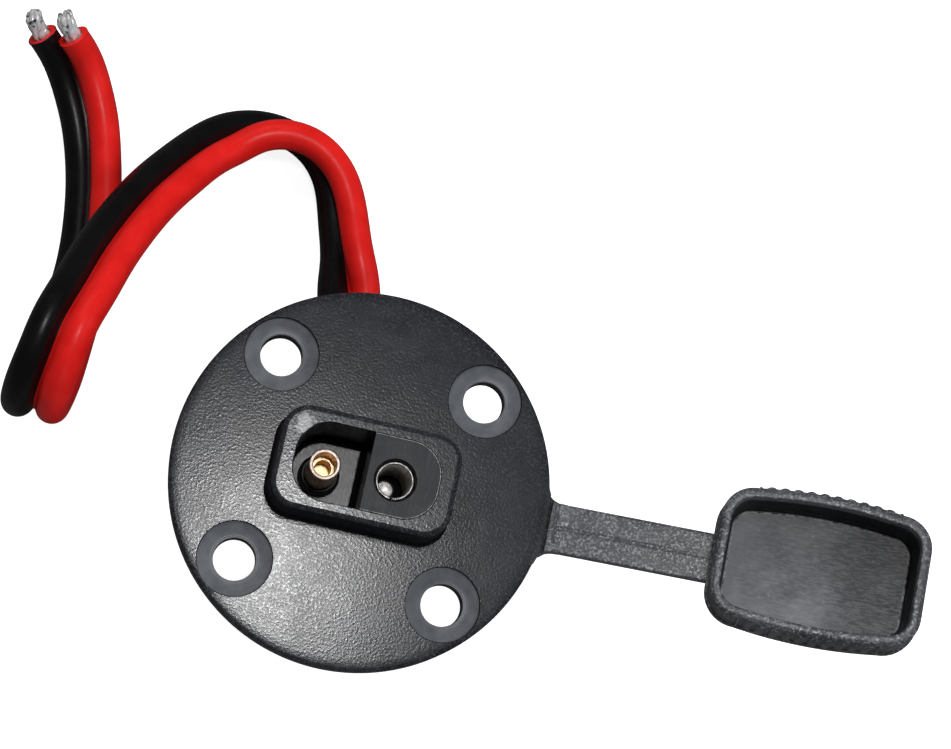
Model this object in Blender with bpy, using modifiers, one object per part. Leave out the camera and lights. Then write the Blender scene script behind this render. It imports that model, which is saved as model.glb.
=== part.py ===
"""SAE connector port: a panel flange with a two-pin socket, a strapped dust cap and a twin cable.

The port lies on its back, as on a table: +Z is the way the socket faces, z = 0 is the flat end of the
rear barrel, and +X runs from the socket along the strap to the cap. All sizes are in metres.
"""

import math

import bmesh
import bpy
import numpy as np
from mathutils import Matrix, Vector

MM = 0.001

# Flange and rear barrel
FLANGE_RADIUS = 30.0 * MM
FLANGE_THICKNESS = 4.0 * MM
FLANGE_EDGE = 0.7 * MM
BARREL_RADIUS = 17.0 * MM
BARREL_LENGTH = 20.0 * MM
BARREL_DRAFT = 0.4 * MM
BARREL_EDGE = 0.9 * MM
BARREL_ROOT_FILLET = 1.0 * MM

# Screw holes, on the corners of a square, with a little of the flange left outside each dish
SCREW_RIM = 0.83 * MM
SCREW_HOLE_RADIUS = 3.3 * MM
DISH_RADIUS = 5.84 * MM
DISH_STEP = 0.35 * MM
DISH_DEPTH = 1.1 * MM

# Boss round the socket
BOSS_LENGTH = 28.6 * MM
BOSS_WIDTH = 16.6 * MM
BOSS_HEIGHT = 9.0 * MM
BOSS_CORNER = 4.4 * MM
BOSS_EDGE = 0.9 * MM
BOSS_DRAFT = 0.2 * MM

# Recess in the boss, and the insert that fills part of it
RECESS_LENGTH = 22.6 * MM
RECESS_WIDTH = 12.2 * MM
RECESS_CORNER = 5.2 * MM
RECESS_DEPTH = 17.2 * MM
LAND_DEPTH = 13.5 * MM
BLOCK_FLAT_X = 0.1 * MM
BLOCK_CHAMFER = 0.25 * MM
SLOT_WIDTH = 0.9 * MM
SLOT_DEPTH = 2.6 * MM
COLLAR_RADIUS = 3.3 * MM
COLLAR_LIP_RADIUS = 3.0 * MM
COLLAR_HEIGHT = 2.8 * MM
COLLAR_STEP_HEIGHT = 1.25 * MM

# Terminals: a bare pin on the left, a split sleeve on the right
TERMINAL_PITCH = 11.0 * MM
TERMINAL_MID_X = -1.0 * MM
TERMINAL_Y = -0.5 * MM
PIN_RADIUS = 2.45 * MM
PIN_MOUTH_RADIUS = 1.85 * MM
PIN_MOUTH_DEPTH = 1.9 * MM
PIN_BORE_RADIUS = 1.5 * MM
PIN_BORE_DEPTH = 5.0 * MM
PIN_TIP_DEPTH = 0.2 * MM
SLEEVE_RADIUS = 3.0 * MM
SLEEVE_WALL = 0.45 * MM
SLEEVE_TOP_DEPTH = 0.8 * MM
SLEEVE_DEPTH = 11.0 * MM
SLEEVE_SPLIT = 0.5 * MM
SLEEVE_SPLIT_LENGTH = 9.9 * MM
SLUG_RADIUS = 1.5 * MM
SLUG_EDGE = 0.4 * MM
SLUG_HEIGHT = 3.4 * MM
SLUG_OFFSET_X = -0.75 * MM
SLUG_OFFSET_Y = -0.55 * MM
POST_RADIUS = 1.9 * MM
CRIMP_RADIUS = 2.3 * MM
CRIMP_LENGTH = 8.0 * MM
CRIMP_BORE_RADIUS = 1.5 * MM
CRIMP_BORE_DEPTH = 5.0 * MM

# Twin cable
WIRE_DIAMETER = 5.1 * MM
WIRE_SPACING = 5.5 * MM
WIRE_STEP = 6.2 * MM
ROUTE_SAMPLES = 400
CABLE_EXIT_Z = 6.0 * MM
CABLE_EXIT_ANGLE = math.radians(103.0)
BLACK_END_LEAD = 1.6 * MM
STRAND_RADIUS = 1.5 * MM
STRAND_LENGTH = 4.6 * MM
STRAND_LOBES = 8
STRAND_LOBE_DEPTH = 0.2 * MM
STRAND_TWIST = math.radians(50.0)
# Each layer's share of the length and of the radius
STRAND_LAYERS = ((0.35, 1.0), (0.7, 1.02), (0.92, 0.95), (1.0, 0.72))

# Gland boss on the barrel and the strain relief in it
GLAND_REACH = 18.6 * MM
GLAND_WIDTH = 18.0 * MM
GLAND_HEIGHT = 11.4 * MM
GLAND_EDGE = 1.0 * MM
RELIEF_WALL = 0.9 * MM
RELIEF_LENGTH = 13.0 * MM
RELIEF_SHANK = 5.0 * MM
RELIEF_RINGS = 4
RELIEF_RING_WIDTH = 1.5 * MM
RELIEF_RING_PROUD = 0.8 * MM
RELIEF_TAPER = 0.5 * MM
# The oval's corner radius as a share of its width, just short of a half circle
OVAL_CORNER = 0.48

# Strap
STRAP_WIDTH = 8.0 * MM
STRAP_THICKNESS = 1.6 * MM
STRAP_DROP = 1.6 * MM
STRAP_Y = -0.6 * MM
STRAP_GROOVE = 0.5 * MM
STRAP_GROOVE_DEPTH = 0.25 * MM
STRAP_EDGE = 0.25 * MM
WEB_THICKNESS = 1.0 * MM
WEB_LENGTH = 0.7 * MM
ROOT_HINGE_REACH = 0.8 * MM
ROOT_TAB = 1.5 * MM
ROOT_NOTCH = 0.6 * MM
# At rest the strap and the open cap rise from the flange by this much.
REST_TILT = math.radians(12.0)

# Dust cap
CAP_WALL = 1.6 * MM
CAP_FLOOR = 1.6 * MM
CAP_END_CLEARANCE = 0.3 * MM
CAP_SIDE_CLEARANCE = 0.3 * MM
CAP_TOP_CLEARANCE = 0.4 * MM
CAP_RIM_DROP = 1.0 * MM
CAP_BULGE = 0.8 * MM
CAP_CORNER = 5.0 * MM
CAP_INNER_CORNER = 3.6 * MM
CAP_BASE_EDGE = 1.2 * MM
CAP_RIM_EDGE = 0.3 * MM
CAP_RIBS = 12
CAP_RIB_PITCH = 2.05 * MM
CAP_RIB_RADIUS = 0.6 * MM
CAP_RIB_INSET = 0.2 * MM
CAP_RIM_BAND = 0.6 * MM
CAP_FOOT_BAND = 2.0 * MM

# Gap kept between separate pieces that seat on each other
GAP = 0.3 * MM
# Distance within which points are welded
WELD = 0.005 * MM

# Heights and places that follow from the sizes above
FLANGE_BACK_Z = BARREL_LENGTH
FACE_Z = FLANGE_BACK_Z + FLANGE_THICKNESS
BOSS_Z = FACE_Z + BOSS_HEIGHT
SEAT_Z = BOSS_Z - RECESS_DEPTH
LAND_Z = BOSS_Z - LAND_DEPTH
INSERT_BOTTOM_Z = SEAT_Z + GAP
SCREW_OFFSET = (FLANGE_RADIUS - SCREW_RIM - DISH_RADIUS) / math.sqrt(2)
PIN_X = TERMINAL_MID_X - TERMINAL_PITCH / 2
SOCKET_X = TERMINAL_MID_X + TERMINAL_PITCH / 2
WIRE_RADIUS = WIRE_DIAMETER / 2

STRAP_Z = FACE_Z - STRAP_DROP
ROOT_HINGE_X = FLANGE_RADIUS + ROOT_HINGE_REACH
CAP_DEPTH = BOSS_HEIGHT + CAP_TOP_CLEARANCE
CAP_RIM_Z = BOSS_Z - CAP_RIM_DROP
CAP_RIM_RISE = CAP_RIM_Z - STRAP_Z
# Folded twice by a right angle, the cap's rim then lies one gap above the flange's face.
STRAP_INNER_LENGTH = FACE_Z + GAP - STRAP_Z + CAP_RIM_RISE
BEND_HINGE_X = ROOT_HINGE_X + STRAP_INNER_LENGTH
CAP_X = BEND_HINGE_X + ROOT_HINGE_X
CAP_BASE_Z = CAP_RIM_Z - CAP_DEPTH - CAP_FLOOR
CAP_INNER_LENGTH = BOSS_LENGTH + 2 * CAP_END_CLEARANCE
CAP_INNER_WIDTH = BOSS_WIDTH + 2 * CAP_SIDE_CLEARANCE
CAP_LENGTH = CAP_INNER_LENGTH + 2 * CAP_WALL
CAP_WIDTH = CAP_INNER_WIDTH + 2 * CAP_WALL

# Route of the pair's middle line in millimetres, with the way from the red conductor to the black one.
# It leaves the gland, rolls on its side as it turns back, climbs in one long hump as high as the port,
# bends down under itself and comes back along the table to the stripped ends, which spring up a little.
PAIR_ROUTE = [
    (-5.4, 23.4, 6.0, -0.97, -0.22, 0.0),
    (-7.1, 30.9, 5.9, -0.97, -0.22, 0.0),
    (-9.3, 39.3, 5.3, -0.66, -0.08, -0.75),
    (-11.3, 45.5, 5.0, -0.54, -0.07, -0.84),
    (-13.7, 51.2, 5.2, -0.35, -0.10, -0.93),
    (-17.8, 55.6, 5.4, -0.05, -0.02, -1.00),
    (-23.3, 57.5, 5.5, 0.11, 0.30, -0.95),
    (-28.8, 56.6, 5.9, -0.08, 0.65, -0.76),
    (-33.0, 53.8, 6.8, -0.43, 0.75, -0.50),
    (-36.1, 50.5, 8.2, -0.62, 0.62, -0.47),
    (-39.5, 45.4, 10.6, -0.68, 0.57, -0.42),
    (-42.5, 39.9, 13.5, -0.74, 0.54, -0.40),
    (-45.3, 32.9, 17.0, -0.80, 0.46, -0.37),
    (-47.5, 25.4, 21.0, -0.86, 0.40, -0.32),
    (-48.8, 19.2, 24.3, -0.90, 0.34, -0.26),
    (-50.2, 13.4, 26.0, -0.93, 0.28, -0.20),
    (-51.1, 7.9, 25.0, -0.96, 0.20, -0.12),
    (-51.9, 4.1, 22.1, -0.98, 0.12, -0.08),
    (-52.5, 1.7, 16.9, -1.00, 0.0, -0.05),
    (-52.6, 2.2, 11.2, -0.99, 0.0, -0.10),
    (-52.3, 5.3, 6.8, -0.97, 0.0, -0.20),
    (-51.9, 9.5, 4.6, -0.94, 0.0, -0.32),
    (-51.6, 14.6, 4.1, -0.90, 0.0, -0.42),
    (-51.2, 21.6, 4.2, -0.85, 0.0, -0.50),
    (-51.2, 28.5, 4.3, -0.80, 0.0, -0.58),
    (-51.9, 35.4, 4.3, -0.78, -0.03, -0.62),
    (-53.0, 41.5, 4.4, -0.77, -0.06, -0.63),
    (-54.4, 46.8, 4.6, -0.77, -0.12, -0.62),
    (-56.1, 51.7, 5.2, -0.78, -0.20, -0.58),
    (-58.2, 56.0, 6.3, -0.79, -0.22, -0.55),
    (-60.4, 59.5, 8.0, -0.82, -0.18, -0.50),
    (-62.2, 61.4, 9.9, -0.85, -0.12, -0.47),
    (-63.4, 62.3, 11.2, -0.86, -0.08, -0.45),
]

# Colour, roughness and metallic value of each material
FINISHES = {
    "flange_pvc": ((0.030, 0.031, 0.034), 0.55, 0.0),
    "insert_nylon": ((0.024, 0.025, 0.028), 0.38, 0.0),
    "pin_brass": ((0.75, 0.48, 0.16), 0.22, 1.0),
    "sleeve_tin": ((0.62, 0.61, 0.58), 0.30, 1.0),
    "relief_pvc": ((0.022, 0.022, 0.024), 0.50, 0.0),
    "black_insulation": ((0.012, 0.012, 0.013), 0.22, 0.0),
    "red_insulation": ((0.62, 0.018, 0.012), 0.28, 0.0),
    "tinned_strands": ((0.66, 0.66, 0.66), 0.35, 1.0),
    "strap_pvc": ((0.040, 0.041, 0.044), 0.60, 0.0),
    "cap_pvc": ((0.032, 0.033, 0.036), 0.58, 0.0),
}


def clear_scene():
    for obj in list(bpy.data.objects):
        bpy.data.objects.remove(obj, do_unlink=True)


def new_collection(name):
    collection = bpy.data.collections.new(name)
    bpy.context.scene.collection.children.link(collection)
    return collection


def make_material(name):
    colour, roughness, metallic = FINISHES[name]
    material = bpy.data.materials.new(name)
    material.use_nodes = True
    shader = material.node_tree.nodes["Principled BSDF"]
    shader.inputs["Base Color"].default_value = (*colour, 1.0)
    shader.inputs["Roughness"].default_value = roughness
    shader.inputs["Metallic"].default_value = metallic
    return material


def mesh_object(name, bm, collection):
    mesh = bpy.data.meshes.new(name)
    bm.to_mesh(mesh)
    bm.free()
    obj = bpy.data.objects.new(name, mesh)
    collection.objects.link(obj)
    return obj


def mark_cutter(obj):
    obj.hide_render = True
    obj.display_type = "WIRE"
    return obj


def dress(obj, finish):
    """Smooth shading with sharp edges, and the piece's own material."""
    obj.data.shade_smooth()
    obj.data.set_sharp_from_angle(angle=math.radians(32))
    obj.data.materials.clear()
    obj.data.materials.append(make_material(finish))
    return obj


def combine(target, operand, operation):
    modifier = target.modifiers.new(operand.name, "BOOLEAN")
    modifier.operation = operation
    modifier.solver = "EXACT"
    modifier.object = operand
    mark_cutter(operand)


def block(name, collection, length, width, bottom, top, corner=0.0, centre=(0.0, 0.0),
          top_edge=0.0, bottom_edge=0.0, draft=0.0, corner_segments=7, edge_segments=3):
    """A box with rounded upright corners, a drafted side wall and rounded rims."""
    bm = bmesh.new()
    bmesh.ops.create_cube(bm, size=1.0)
    height = top - bottom
    for vert in bm.verts:
        vert.co.x *= length
        vert.co.y *= width
        vert.co.z *= height
    if corner > 0.0:
        upright = [e for e in bm.edges if abs(e.verts[0].co.z - e.verts[1].co.z) > height / 2]
        bmesh.ops.bevel(bm, geom=upright, offset=corner, segments=corner_segments, affect="EDGES",
                        profile=0.5, clamp_overlap=True)
    for vert in bm.verts:
        if vert.co.z > 0.0 and draft > 0.0:
            vert.co.x *= 1.0 - 2 * draft / length
            vert.co.y *= 1.0 - 2 * draft / width
    for sign, edge in ((1.0, top_edge), (-1.0, bottom_edge)):
        if edge > 0.0:
            rim = [e for e in bm.edges if all(v.co.z * sign > height / 2 - WELD for v in e.verts)]
            bmesh.ops.bevel(bm, geom=rim, offset=edge, segments=edge_segments, affect="EDGES",
                            profile=0.5, clamp_overlap=True)
    bmesh.ops.translate(bm, verts=bm.verts, vec=(centre[0], centre[1], (top + bottom) / 2))
    return mesh_object(name, bm, collection)


def turned(name, collection, profile, segments, place=(0.0, 0.0)):
    """A solid of revolution about an upright axis: the profile runs from the top down its outer side."""
    mesh = bpy.data.meshes.new(name)
    points = [(radius, 0.0, height) for radius, height in profile]
    mesh.from_pydata(points, [(i, i + 1) for i in range(len(points) - 1)], [])
    obj = bpy.data.objects.new(name, mesh)
    obj.location = (place[0], place[1], 0.0)
    collection.objects.link(obj)
    screw = obj.modifiers.new("turn", "SCREW")
    screw.steps = segments
    screw.render_steps = segments
    screw.use_merge_vertices = True
    screw.merge_threshold = WELD
    return obj


def arc(centre_x, centre_z, radius, start, end, steps):
    """Points of a round edge, from one angle to the other in degrees."""
    angles = [math.radians(start + (end - start) * i / steps) for i in range(steps + 1)]
    return [(centre_x + radius * math.cos(a), centre_z + radius * math.sin(a)) for a in angles]


def flat_outline(name, collection, outline, bottom, top):
    """A flat outline given its thickness, as a mesh with welded caps."""
    curve = bpy.data.curves.new(name, "CURVE")
    curve.dimensions = "2D"
    curve.fill_mode = "BOTH"
    curve.extrude = (top - bottom) / 2
    spline = curve.splines.new("POLY")
    spline.points.add(len(outline) - 1)
    for point, (x, y) in zip(spline.points, outline):
        point.co = (x, y, 0.0, 1.0)
    spline.use_cyclic_u = True
    obj = bpy.data.objects.new(name, curve)
    obj.location = (0.0, 0.0, (top + bottom) / 2)
    collection.objects.link(obj)
    return curve_to_mesh(obj, collection)


def curve_to_mesh(obj, collection):
    bpy.context.view_layer.update()
    evaluated = obj.evaluated_get(bpy.context.evaluated_depsgraph_get())
    mesh = bpy.data.meshes.new_from_object(evaluated)
    bm = bmesh.new()
    bm.from_mesh(mesh)
    bmesh.ops.remove_doubles(bm, verts=bm.verts, dist=WELD)
    bmesh.ops.recalc_face_normals(bm, faces=bm.faces)
    bm.to_mesh(mesh)
    bm.free()
    name = obj.name
    matrix = obj.matrix_world.copy()
    bpy.data.objects.remove(obj, do_unlink=True)
    solid = bpy.data.objects.new(name, mesh)
    solid.matrix_world = matrix
    collection.objects.link(solid)
    return solid


def tube(name, collection, points, radius, bevel_resolution=3):
    """A round tube through the points, with flat caps."""
    curve = bpy.data.curves.new(name, "CURVE")
    curve.dimensions = "3D"
    curve.bevel_depth = radius
    curve.bevel_resolution = bevel_resolution
    curve.use_fill_caps = True
    spline = curve.splines.new("POLY")
    spline.points.add(len(points) - 1)
    for point, place in zip(spline.points, points):
        point.co = (*place, 1.0)
    obj = bpy.data.objects.new(name, curve)
    collection.objects.link(obj)
    return obj


def smooth_curve(route, count):
    """Evenly spread points of the natural cubic curve through the route's rows."""
    rows = np.array(route, dtype=float)
    knots = np.concatenate(([0.0], np.cumsum(np.linalg.norm(np.diff(rows[:, :3], axis=0), axis=1))))
    spans = np.diff(knots)
    size = len(rows)
    system = np.eye(size)
    right = np.zeros_like(rows)
    for i in range(1, size - 1):
        system[i, i - 1:i + 2] = (spans[i - 1], 2 * (spans[i - 1] + spans[i]), spans[i])
        slopes = (rows[i + 1] - rows[i]) / spans[i] - (rows[i] - rows[i - 1]) / spans[i - 1]
        right[i] = 6 * slopes
    bends = np.linalg.solve(system, right)
    places = np.linspace(0.0, knots[-1], count)
    at = np.clip(np.searchsorted(knots, places, side="right") - 1, 0, size - 2)
    span = spans[at][:, None]
    before = (knots[at + 1] - places)[:, None] / span
    after = (places - knots[at])[:, None] / span
    line = before * rows[at] + after * rows[at + 1]
    return line + ((before**3 - before) * bends[at] + (after**3 - after) * bends[at + 1]) * span**2 / 6


def exit_direction():
    return Vector((math.cos(CABLE_EXIT_ANGLE), math.sin(CABLE_EXIT_ANGLE), 0.0))


def exit_side():
    """The way from the red conductor to the black one where the cable leaves the barrel."""
    return Vector((-math.sin(CABLE_EXIT_ANGLE), math.cos(CABLE_EXIT_ANGLE), 0.0))


def terminal_foot(x):
    return Vector((x, TERMINAL_Y, CABLE_EXIT_Z))


def wire_entry(side):
    """Where a conductor comes out of the strain relief's shank; side is +1 for black and -1 for red."""
    reach = GLAND_REACH - RELIEF_SHANK - GAP
    return exit_direction() * reach + exit_side() * (side * WIRE_SPACING / 2) + Vector(
        (0.0, 0.0, CABLE_EXIT_Z))


def crimp_direction(x, side):
    return (wire_entry(side) - terminal_foot(x)).normalized()


def wire_line(x, side, lead):
    """A conductor's middle line from its crimp, through the relief, to its stripped end."""
    pair = smooth_curve(PAIR_ROUTE, ROUTE_SAMPLES)
    middle = pair[:, :3] * MM
    along = np.gradient(middle, axis=0)
    along /= np.linalg.norm(along, axis=1)[:, None]
    across = pair[:, 3:]
    across = across - (across * along).sum(axis=1)[:, None] * along
    across /= np.linalg.norm(across, axis=1)[:, None]
    outside = middle + across * (side * WIRE_SPACING / 2)
    outside = np.vstack((outside, outside[-1] + along[-1] * lead))
    start = terminal_foot(x) + crimp_direction(x, side) * (CRIMP_LENGTH + GAP)
    line = np.vstack((wire_entry(side), outside))
    run = np.concatenate(([0.0], np.cumsum(np.linalg.norm(np.diff(line, axis=0), axis=1))))
    count = round(run[-1] / WIRE_STEP) + 1
    even = np.linspace(0.0, run[-1], count)
    return [tuple(start), *zip(*(np.interp(even, run, line[:, axis]) for axis in range(3)))]


def flange_profile():
    back = FLANGE_BACK_Z
    chamfer = FLANGE_EDGE / 2
    profile = [(0.0, FACE_Z)]
    profile += arc(FLANGE_RADIUS - FLANGE_EDGE, FACE_Z - FLANGE_EDGE, FLANGE_EDGE, 90, 0, 3)
    profile += [(FLANGE_RADIUS, back + chamfer), (FLANGE_RADIUS - chamfer, back)]
    profile += arc(BARREL_RADIUS + BARREL_ROOT_FILLET, back - BARREL_ROOT_FILLET, BARREL_ROOT_FILLET,
                   90, 180, 3)
    foot = BARREL_RADIUS - BARREL_DRAFT - BARREL_EDGE
    profile += arc(foot, BARREL_EDGE, BARREL_EDGE, 0, -90, 3)
    profile += [(0.0, 0.0)]
    return profile


def dish_profile(steps=3):
    """The cutter of one screw hole: a stepped rim, a shallow dish and the straight hole."""
    profile = [(0.0, FACE_Z + GAP), (DISH_RADIUS, FACE_Z + GAP)]
    for i in range(steps + 1):
        radius = DISH_RADIUS - (DISH_RADIUS - SCREW_HOLE_RADIUS) * i / steps
        depth = DISH_STEP + (DISH_DEPTH - DISH_STEP) * math.sin(math.pi / 2 * i / steps)
        profile.append((radius, FACE_Z - depth))
    profile += [(SCREW_HOLE_RADIUS, FLANGE_BACK_Z - GAP), (0.0, FLANGE_BACK_Z - GAP)]
    return profile


def along_exit(obj, distance):
    """Stand an upright solid along the cable's exit, its foot at the given distance from the axis."""
    turn = Matrix.Rotation(CABLE_EXIT_ANGLE - math.pi / 2, 4, "Z") @ Matrix.Rotation(-math.pi / 2, 4, "X")
    foot = exit_direction() * distance + Vector((0.0, 0.0, CABLE_EXIT_Z))
    obj.matrix_world = Matrix.Translation(foot) @ turn
    return obj


def relief_size(wall):
    """Length and width of the oval round both conductors, at one wall's thickness."""
    width = WIRE_DIAMETER + 2 * (GAP + wall)
    return WIRE_SPACING + width, width


def build_flange(parts, cutters):
    housing = turned("flange_housing", parts, flange_profile(), 80)
    boss = block("boss", cutters, BOSS_LENGTH, BOSS_WIDTH, FACE_Z - GAP, BOSS_Z, BOSS_CORNER,
                 top_edge=BOSS_EDGE, draft=BOSS_DRAFT)
    combine(housing, boss, "UNION")

    tab = block("strap_root", cutters, 2 * ROOT_TAB, STRAP_WIDTH, STRAP_Z - STRAP_THICKNESS / 2,
                STRAP_Z + WEB_THICKNESS / 2, centre=(FLANGE_RADIUS - ROOT_TAB, STRAP_Y))
    combine(housing, tab, "UNION")

    gland_length = GLAND_REACH - BARREL_RADIUS / 2
    gland = block("gland", cutters, GLAND_WIDTH, GLAND_HEIGHT, 0.0, gland_length, GLAND_EDGE * 2,
                  top_edge=GLAND_EDGE, corner_segments=4, edge_segments=2)
    along_exit(gland, BARREL_RADIUS / 2)
    combine(housing, gland, "UNION")

    recess = block("recess", cutters, RECESS_LENGTH, RECESS_WIDTH, SEAT_Z, BOSS_Z + GAP, RECESS_CORNER)
    combine(housing, recess, "DIFFERENCE")

    notch_start = FLANGE_RADIUS - ROOT_NOTCH
    notch_length = ROOT_NOTCH + ROOT_HINGE_REACH
    notch = block("root_notch", cutters, notch_length, STRAP_WIDTH + 2 * GAP,
                  STRAP_Z + WEB_THICKNESS / 2, FACE_Z + GAP,
                  centre=(notch_start + notch_length / 2, STRAP_Y))
    combine(housing, notch, "DIFFERENCE")

    for number, (sx, sy) in enumerate([(-1, -1), (1, -1), (1, 1), (-1, 1)]):
        place = (sx * SCREW_OFFSET, sy * SCREW_OFFSET)
        hole = turned(f"screw_hole_{number}", cutters, dish_profile(), 28, place)
        combine(housing, hole, "DIFFERENCE")

    for name, x, side in (("pin", PIN_X, 1), ("socket", SOCKET_X, -1)):
        foot = terminal_foot(x)
        heading = crimp_direction(x, side)
        well = turned(f"{name}_well", cutters,
                      [(0.0, SEAT_Z + GAP), (CRIMP_RADIUS + GAP, SEAT_Z + GAP),
                       (CRIMP_RADIUS + GAP, CABLE_EXIT_Z - CRIMP_RADIUS - GAP),
                       (0.0, CABLE_EXIT_Z - CRIMP_RADIUS - GAP)], 16, (x, TERMINAL_Y))
        combine(housing, well, "DIFFERENCE")
        channel = tube(f"{name}_channel", cutters, [foot, wire_entry(side) + heading * WIRE_RADIUS],
                       WIRE_RADIUS + GAP)
        combine(housing, curve_to_mesh(channel, cutters), "DIFFERENCE")

    length, width = relief_size(RELIEF_WALL + GAP)
    pocket = block("relief_pocket", cutters, length, width, 0.0,
                   RELIEF_SHANK + GAP + GLAND_EDGE, width * OVAL_CORNER)
    along_exit(pocket, GLAND_REACH - RELIEF_SHANK - GAP)
    combine(housing, pocket, "DIFFERENCE")
    return dress(housing, "flange_pvc")


def build_insert(parts, cutters):
    """One moulding: the low land with the pin's collar, and the high block round the sleeve."""
    length = RECESS_LENGTH - 2 * GAP
    width = RECESS_WIDTH - 2 * GAP
    insert = block("terminal_insert", parts, length, width, INSERT_BOTTOM_Z, BOSS_Z,
                   RECESS_CORNER - GAP, top_edge=BLOCK_CHAMFER, edge_segments=1)
    cut_length = RECESS_LENGTH
    land = block("land_cut", cutters, cut_length, RECESS_WIDTH, LAND_Z, BOSS_Z + GAP,
                 centre=(BLOCK_FLAT_X - cut_length / 2, 0.0))
    combine(insert, land, "DIFFERENCE")
    slot = block("slot_cut", cutters, SLOT_WIDTH, RECESS_WIDTH, LAND_Z - SLOT_DEPTH, LAND_Z + GAP,
                 centre=(BLOCK_FLAT_X - SLOT_WIDTH / 2, 0.0))
    combine(insert, slot, "DIFFERENCE")
    collar = turned("collar", cutters, [
        (0.0, LAND_Z + COLLAR_HEIGHT), (COLLAR_LIP_RADIUS - GAP / 2, LAND_Z + COLLAR_HEIGHT),
        (COLLAR_LIP_RADIUS, LAND_Z + COLLAR_HEIGHT - GAP / 2),
        (COLLAR_LIP_RADIUS, LAND_Z + COLLAR_STEP_HEIGHT),
        (COLLAR_RADIUS, LAND_Z + COLLAR_STEP_HEIGHT),
        (COLLAR_RADIUS, LAND_Z - GAP), (0.0, LAND_Z - GAP)], 28, (PIN_X, TERMINAL_Y))
    combine(insert, collar, "UNION")
    pin_hole = turned("pin_hole", cutters, [
        (0.0, BOSS_Z + GAP), (PIN_RADIUS + GAP, BOSS_Z + GAP),
        (PIN_RADIUS + GAP, INSERT_BOTTOM_Z - GAP), (0.0, INSERT_BOTTOM_Z - GAP)], 28, (PIN_X, TERMINAL_Y))
    combine(insert, pin_hole, "DIFFERENCE")
    bore = SLEEVE_RADIUS + GAP
    sleeve_hole = turned("sleeve_hole", cutters, [
        (0.0, BOSS_Z + GAP), (bore + BLOCK_CHAMFER, BOSS_Z + GAP), (bore + BLOCK_CHAMFER, BOSS_Z),
        (bore, BOSS_Z - BLOCK_CHAMFER), (bore, INSERT_BOTTOM_Z - GAP), (0.0, INSERT_BOTTOM_Z - GAP)],
        28, (SOCKET_X, TERMINAL_Y))
    combine(insert, sleeve_hole, "DIFFERENCE")
    return dress(insert, "insert_nylon")


def add_crimp_tail(terminal, name, x, side, cutters):
    """The tail turns at a right angle under the insert and opens towards its conductor."""
    heading = crimp_direction(x, side)
    foot = terminal_foot(x)
    crimp = tube(f"{name}_crimp", cutters, [foot, foot + heading * CRIMP_LENGTH], CRIMP_RADIUS)
    combine(terminal, curve_to_mesh(crimp, cutters), "UNION")
    bore = tube(f"{name}_crimp_bore", cutters,
                [foot + heading * (CRIMP_LENGTH - CRIMP_BORE_DEPTH), foot + heading * (CRIMP_LENGTH + GAP)],
                CRIMP_BORE_RADIUS)
    combine(terminal, curve_to_mesh(bore, cutters), "DIFFERENCE")


def build_pin(parts, cutters):
    tip = BOSS_Z - PIN_TIP_DEPTH
    rim = (PIN_RADIUS - PIN_MOUTH_RADIUS) / 3
    floor = tip - PIN_BORE_DEPTH
    pin = turned("pin_terminal", parts, [
        (0.0, floor - rim), (PIN_BORE_RADIUS - rim, floor), (PIN_BORE_RADIUS, floor + rim),
        (PIN_BORE_RADIUS, tip - PIN_MOUTH_DEPTH - rim),
        (PIN_MOUTH_RADIUS, tip - PIN_MOUTH_DEPTH), (PIN_MOUTH_RADIUS, tip - rim),
        (PIN_MOUTH_RADIUS + rim, tip), (PIN_RADIUS - rim, tip), (PIN_RADIUS, tip - rim),
        (PIN_RADIUS, INSERT_BOTTOM_Z), (POST_RADIUS, INSERT_BOTTOM_Z - rim),
        (POST_RADIUS, CABLE_EXIT_Z - POST_RADIUS), (0.0, CABLE_EXIT_Z - POST_RADIUS)],
        24, (PIN_X, TERMINAL_Y))
    add_crimp_tail(pin, "pin", PIN_X, 1, cutters)
    return dress(pin, "pin_brass")


def build_socket(parts, cutters):
    top = BOSS_Z - SLEEVE_TOP_DEPTH
    floor = top - SLEEVE_DEPTH
    inner = SLEEVE_RADIUS - SLEEVE_WALL
    rim = SLEEVE_WALL / 3
    socket = turned("socket_terminal", parts, [
        (0.0, floor), (inner, floor), (inner, top - rim), (inner + rim, top), (SLEEVE_RADIUS - rim, top),
        (SLEEVE_RADIUS, top - rim), (SLEEVE_RADIUS, INSERT_BOTTOM_Z), (POST_RADIUS, INSERT_BOTTOM_Z - rim),
        (POST_RADIUS, CABLE_EXIT_Z - POST_RADIUS), (0.0, CABLE_EXIT_Z - POST_RADIUS)],
        28, (SOCKET_X, TERMINAL_Y))
    split = block("sleeve_split", cutters, SLEEVE_SPLIT, SLEEVE_WALL * 3, top - SLEEVE_SPLIT_LENGTH,
                  top + GAP, centre=(SOCKET_X, TERMINAL_Y - SLEEVE_RADIUS + SLEEVE_WALL / 2))
    combine(socket, split, "DIFFERENCE")
    slug = turned("slug", cutters, [
        (0.0, floor + SLUG_HEIGHT), (SLUG_RADIUS - SLUG_EDGE, floor + SLUG_HEIGHT),
        (SLUG_RADIUS, floor + SLUG_HEIGHT - SLUG_EDGE), (SLUG_RADIUS, floor - GAP), (0.0, floor - GAP)],
        16, (SOCKET_X + SLUG_OFFSET_X, TERMINAL_Y + SLUG_OFFSET_Y))
    combine(socket, slug, "UNION")
    add_crimp_tail(socket, "socket", SOCKET_X, -1, cutters)
    return dress(socket, "sleeve_tin")


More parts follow.
